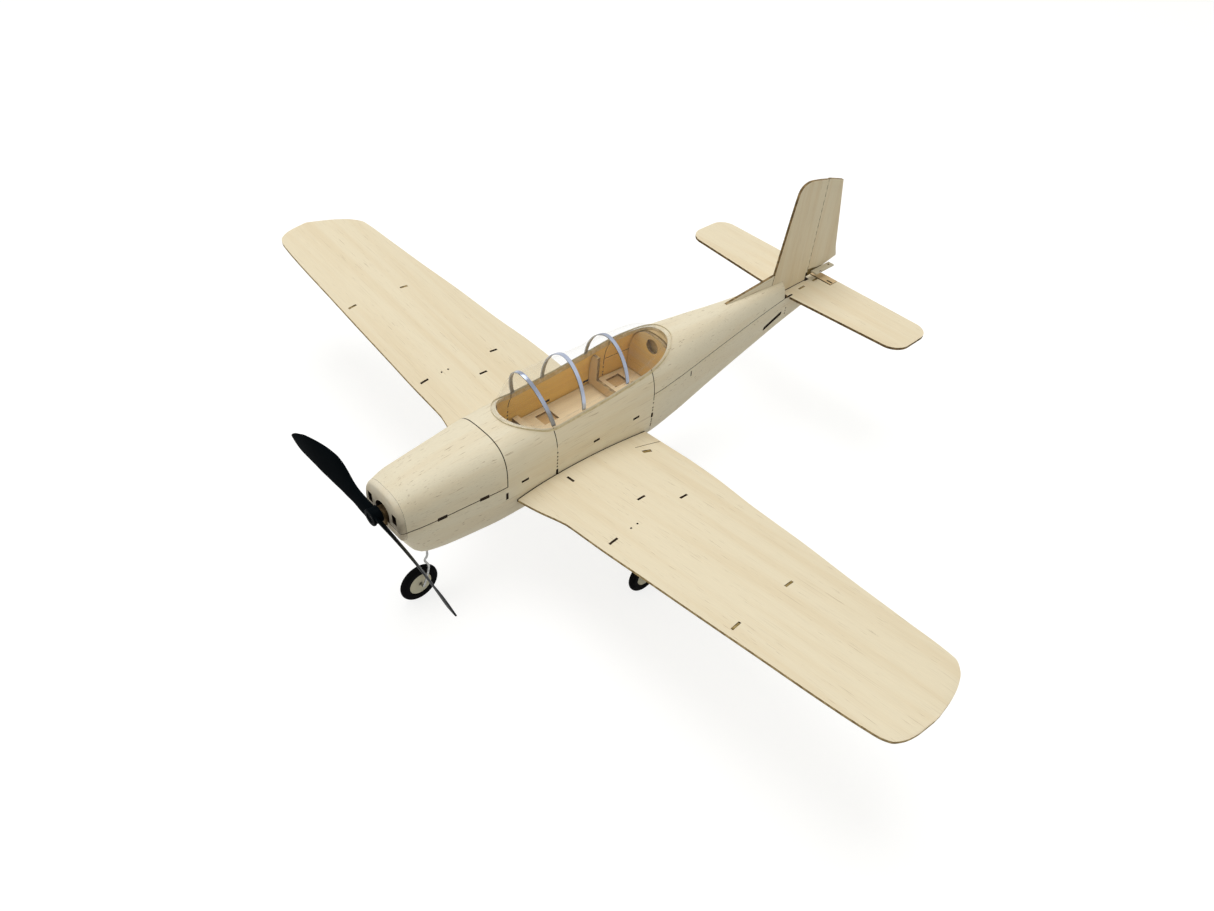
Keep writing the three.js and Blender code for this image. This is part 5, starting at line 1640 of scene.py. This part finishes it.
class PLANE_OT_undercarriage(bpy.types.Operator):
    """Turns the wheels and bends the wire legs"""
    bl_idname = "plane.undercarriage"
    bl_label = "Undercarriage"

    # The solids' tyres stand on a flat of their 24 sides, so the axle is a little lower than their radius
    AXLE_Z = 9 * math.cos(math.pi / 24)

    # Where the wheels are: the nose wheel along Y, the main wheels along X and Y
    NOSE_Y, MAIN_X, MAIN_Y = -123.4, 57.5, -46.7

    def wheel(self, name, x, y):
        z = self.AXLE_Z

        def place(a, b, along):
            return x + along, y + a, z + b

        tread = [(5.35, -1.35), (5.35, 1.35), (5.9, 1.62)]
        tread += [(7.3 + 1.62 * math.sin(a), 1.7 * math.cos(a)) for a in spread(0.15, math.pi - 0.15, 0.16)]
        tread += [(5.9, -1.62)]
        tyre = solid(f"visual_{name}_tyre", lathe(tread, 96, place), tyre_foam())
        finish_piece(tyre, name, [f"{name}_tyre"], angle=50)
        hub = [(0.95, -1.3), (0.95, 1.3), (1.6, 1.38), (4.7, 1.38),
               (5.25, 1.2), (5.25, -1.2), (4.7, -1.38), (1.6, -1.38)]
        disc = solid(f"visual_{name}_hub", lathe(hub, 96, place), hub_wood())
        finish_piece(disc, name, [f"{name}_hub"])

    def wire(self, name, points, collar_x, y):
        piece = solid(name, tube(curve_through(points, 0.7), 0.5, 20), steel_wire())

        def place(a, b, along):
            return collar_x + along, y + a, self.AXLE_Z + b

        ring = [(0.45, 0), (1.8, 0), (2.0, 0.2), (2.0, 0.8), (1.8, 1.0), (0.45, 1.0)]
        collar = solid("collar", lathe(ring, 48, place), prop_plastic())
        apply_tool(piece, collar, "UNION")
        discard(collar)
        return piece

    def execute(self, context):
        wheel_x, wheel_y, foot_y = self.MAIN_X, self.MAIN_Y, self.NOSE_Y
        self.wheel("nose_wheel", 0, foot_y)
        self.wheel("main_wheel_port", wheel_x, wheel_y)
        self.wheel("main_wheel_starboard", -wheel_x, wheel_y)
        z, end = self.AXLE_Z, 2.7
        leg_y = -120.7
        nose = [
            (3.8, leg_y, 45.4), (3.8, leg_y, 33.65), (3.8, leg_y, z * 2 + 9), (3.8, leg_y - 1.2, z + 16.2),
            (3.8, leg_y + 0.3, z + 11.7), (3.8, (leg_y + foot_y) / 2, z + 4.5), (3.8, foot_y, z + 1.5),
            (3.2, foot_y, z + 0.3), (2.3, foot_y, z), (0, foot_y, z), (-end - 0.6, foot_y, z)]
        piece = self.wire("visual_nose_gear_wire", nose, -end, foot_y)
        finish_piece(piece, "fuselage", ["nose_gear_wire"])
        for side, label in SIDES:
            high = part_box(f"main_gear_wire_{label}")[1]
            top = high.z / MM - 0.6
            slot_y, x = -48.9, 53.2
            points = [
                (side * x, slot_y - 7, top), (side * x, slot_y, top), (side * x, slot_y + 1.5, top - 1.5),
                (side * x, (slot_y + wheel_y) / 2 + 0.75, (top + z) / 2), (side * x, wheel_y, z + 1.5),
                (side * (x + 0.6), wheel_y, z + 0.3), (side * (x + 1.5), wheel_y, z),
                (side * wheel_x, wheel_y, z), (side * (wheel_x + end + 0.6), wheel_y, z)]
            collar_x = wheel_x + end - 1 if side > 0 else -wheel_x - end
            piece = self.wire(f"visual_main_gear_wire_{label}", points, collar_x, wheel_y)
            finish_piece(piece, "fuselage", [f"main_gear_wire_{label}"])
        return {"FINISHED"}


class PLANE_OT_propeller(bpy.types.Operator):
    """Moulds the two-blade propeller and bends its shaft"""
    bl_idname = "plane.propeller"
    bl_label = "Propeller"

    # The blades' middle, how far round they stand and sweep forward; the hub's rear face; the hook
    BLADE_Y, BLADE_TURN, BLADE_SWEEP = -139.3, 4, 2.5
    HUB_REAR = -137.3
    HOOK_Y, HOOK_RADIUS = -124.2, 2.6

    def blade(self, name, half_turn):
        rings = []
        turn = math.radians(self.BLADE_TURN)
        for along in spread(0.03, 0.999, 0.014) + [1.0]:
            chord, shift, thickness, degrees = read_smooth(BLADE_ROWS, along)
            twist = math.radians(degrees)
            across = Vector((0, -math.sin(twist), math.cos(twist)))
            normal = Vector((0, math.cos(twist), math.sin(twist)))
            middle = Vector((along * PROP_RADIUS, -self.BLADE_SWEEP * along ** 2, 0))
            middle -= across * (shift * PROP_CHORD)
            ring = []
            for c, s in circle(40):
                taper = 1 - 0.25 * c
                p = middle + across * (c * chord * PROP_CHORD / 2) + normal * (
                    s * taper * thickness * PROP_THICKNESS / 2)
                if half_turn:
                    p = Vector((-p.x, p.y, -p.z))
                x = p.x * math.cos(turn) + p.z * math.sin(turn)
                z = -p.x * math.sin(turn) + p.z * math.cos(turn)
                ring.append((x, p.y + self.BLADE_Y, z + THRUST_Z))
            rings.append(ring)
        return solid(name, loft(rings), prop_plastic())

    def execute(self, context):
        def place(a, b, along):
            return a, along, THRUST_Z + b

        barrel = [(0.9, -140.9), (1.9, -140.9), (2.1, -141.2), (3.3, -141.2), (3.55, -141.1), (3.7, -140.8),
                  (3.7, -140.4), (3.35, -140.1), (3.35, -137.9), (3.5, self.HUB_REAR), (0.9, self.HUB_REAR)]
        hub = solid("visual_propeller", lathe(barrel, 72, place), prop_plastic())
        bore = solid("hub_bore", rod(0.9, "Y", -150, -120, 0, THRUST_Z), prop_plastic())
        behind = boxes("behind_hub", [(-10, 10, self.HUB_REAR, -120, 0, 120)], prop_plastic())
        for half_turn in (False, True):
            blade = self.blade("blade", half_turn)
            cut(blade, bore, behind)
            apply_tool(hub, blade, "UNION")
            discard(blade)
        discard(bore, behind)
        finish_piece(hub, "propeller", ["propeller"], angle=45)
        ring = [(0.9, -137.15), (1.7, -137.15), (1.9, -137.05),
                (1.9, -136.75), (1.7, -136.65), (0.9, -136.65)]
        washer = solid("visual_thrust_washer", lathe(ring, 64, place), steel_wire())
        finish_piece(washer, "propeller", ["thrust_washer"])
        radius = self.HOOK_RADIUS
        middle_y = self.HOOK_Y + radius + 1.5
        path = [(0, -140.6, THRUST_Z), (0, -132.7, THRUST_Z), (0, self.HOOK_Y, THRUST_Z)]
        for degrees in (120, 80, 40, 0, -40, -80, -120, -145):
            a = math.radians(degrees)
            path.append((0, middle_y + radius * math.cos(a), THRUST_Z + radius * math.sin(a)))
        shaft = solid("visual_prop_shaft", tube(curve_through(path, 0.5), 0.6, 20), steel_wire())
        finish_piece(shaft, "propeller", ["prop_shaft"])
        return {"FINISHED"}


class PLANE_OT_motor(bpy.types.Operator):
    """Loops the rubber between the hook and the peg, and sets the nose weight"""
    bl_idname = "plane.motor"
    bl_label = "Motor"

    # The loop's two ends: round the hook's bend, and round the peg
    FRONT_Y, FRONT_RADIUS = -120.1 + 2.6, 2.1
    PEG_Y, PEG_RADIUS = -95.0, 3.0

    # Two strands, this far above and below the thrust line, and half their section
    STRAND_LIFT, HALF_WIDE, HALF_THICK = 0.62, 1.1, 0.5

    def execute(self, context):
        rubber = solid("visual_rubber_motor", self.loop(), motor_rubber())
        rubber.data.shade_smooth()
        rubber.data.set_sharp_from_angle(angle=math.radians(60))
        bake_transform(rubber)
        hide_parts("rubber_motor")
        dowel = wood("Peg dowel", (0.62, 0.46, 0.26), "Z", bands=0.5)
        peg = solid("visual_motor_peg", rod(1.5, "Z", 47.5, 62, 0, self.PEG_Y, 40), dowel)
        chamfer(peg, 0.3)
        finish_piece(peg, "fuselage", ["motor_peg"])
        low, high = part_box("nose_weight")
        weight = boxes("visual_nose_weight", [
            (low.x / MM, high.x / MM, low.y / MM, high.y / MM, low.z / MM, high.z / MM)], weight_iron())
        chamfer(weight, 0.6, 3)
        finish_piece(weight, "fuselage", ["nose_weight"])
        return {"FINISHED"}

    def loop(self):
        points, faces = [], []
        for lift in (-self.STRAND_LIFT, self.STRAND_LIFT):
            path = []
            for start, middle_y, reach in (
                    (math.pi, self.FRONT_Y, self.FRONT_RADIUS), (0, self.PEG_Y, self.PEG_RADIUS)):
                for i in range(25):
                    a = start + math.pi * i / 24
                    path.append((reach * math.cos(a), middle_y + reach * math.sin(a)))
            filled = []
            for i, (x, y) in enumerate(path):
                x2, y2 = path[(i + 1) % len(path)]
                count = max(1, math.ceil(math.hypot(x2 - x, y2 - y) / 1.0))
                filled += [(x + (x2 - x) * k / count, y + (y2 - y) * k / count) for k in range(count)]
            rings = []
            n = len(filled)
            for i, (x, y) in enumerate(filled):
                x0, y0 = filled[i - 1]
                x1, y1 = filled[(i + 1) % n]
                out = Vector((y1 - y0, x0 - x1, 0)).normalized()
                ring = []
                for c, s in circle(16):
                    a = bulge(c, 5) * self.HALF_WIDE
                    b = bulge(s, 5) * self.HALF_THICK
                    ring.append((x + a * out.x, y + a * out.y, THRUST_Z + lift + b))
                rings.append(ring)
            band_points, band_faces = loft(rings, closed_run=True)
            faces += [tuple(k + len(points) for k in face) for face in band_faces]
            points += band_points
        return points, faces


class PLANE_PT_panel(bpy.types.Panel):
    """Lists the plane's settings and the operators that build its pieces"""
    bl_idname = "PLANE_PT_panel"
    bl_label = "Rubber band plane"
    bl_space_type = "VIEW_3D"
    bl_region_type = "UI"
    bl_category = "Plane"

    def draw(self, context):
        layout = self.layout
        values = settings()
        for label, group in (("Wood", values.wood), ("Fittings", values.fitting), ("Build", values.build)):
            box = layout.box()
            box.label(text=label)
            for name in group.__annotations__:
                box.prop(group, name)
        for operator in OPERATORS:
            layout.operator(operator.bl_idname)


OPERATORS = (
    PLANE_OT_stage, PLANE_OT_hull, PLANE_OT_nose, PLANE_OT_interior, PLANE_OT_canopy, PLANE_OT_wings,
    PLANE_OT_tail, PLANE_OT_undercarriage, PLANE_OT_propeller, PLANE_OT_motor)
CLASSES = (WoodSettings, FittingSettings, BuildSettings, PlaneSettings, *OPERATORS, PLANE_PT_panel)


def register():
    for cls in CLASSES:
        bpy.utils.register_class(cls)
    bpy.types.Scene.rubber_band_plane = PointerProperty(type=PlaneSettings)


def unregister():
    del bpy.types.Scene.rubber_band_plane
    for cls in reversed(CLASSES):
        bpy.utils.unregister_class(cls)


def main():
    register()
    bpy.ops.plane.stage()
    bpy.ops.plane.hull()
    bpy.ops.plane.nose()
    bpy.ops.plane.interior()
    bpy.ops.plane.canopy()
    bpy.ops.plane.wings()
    bpy.ops.plane.tail()
    bpy.ops.plane.undercarriage()
    bpy.ops.plane.propeller()
    bpy.ops.plane.motor()


if __name__ == "__main__":
    main()
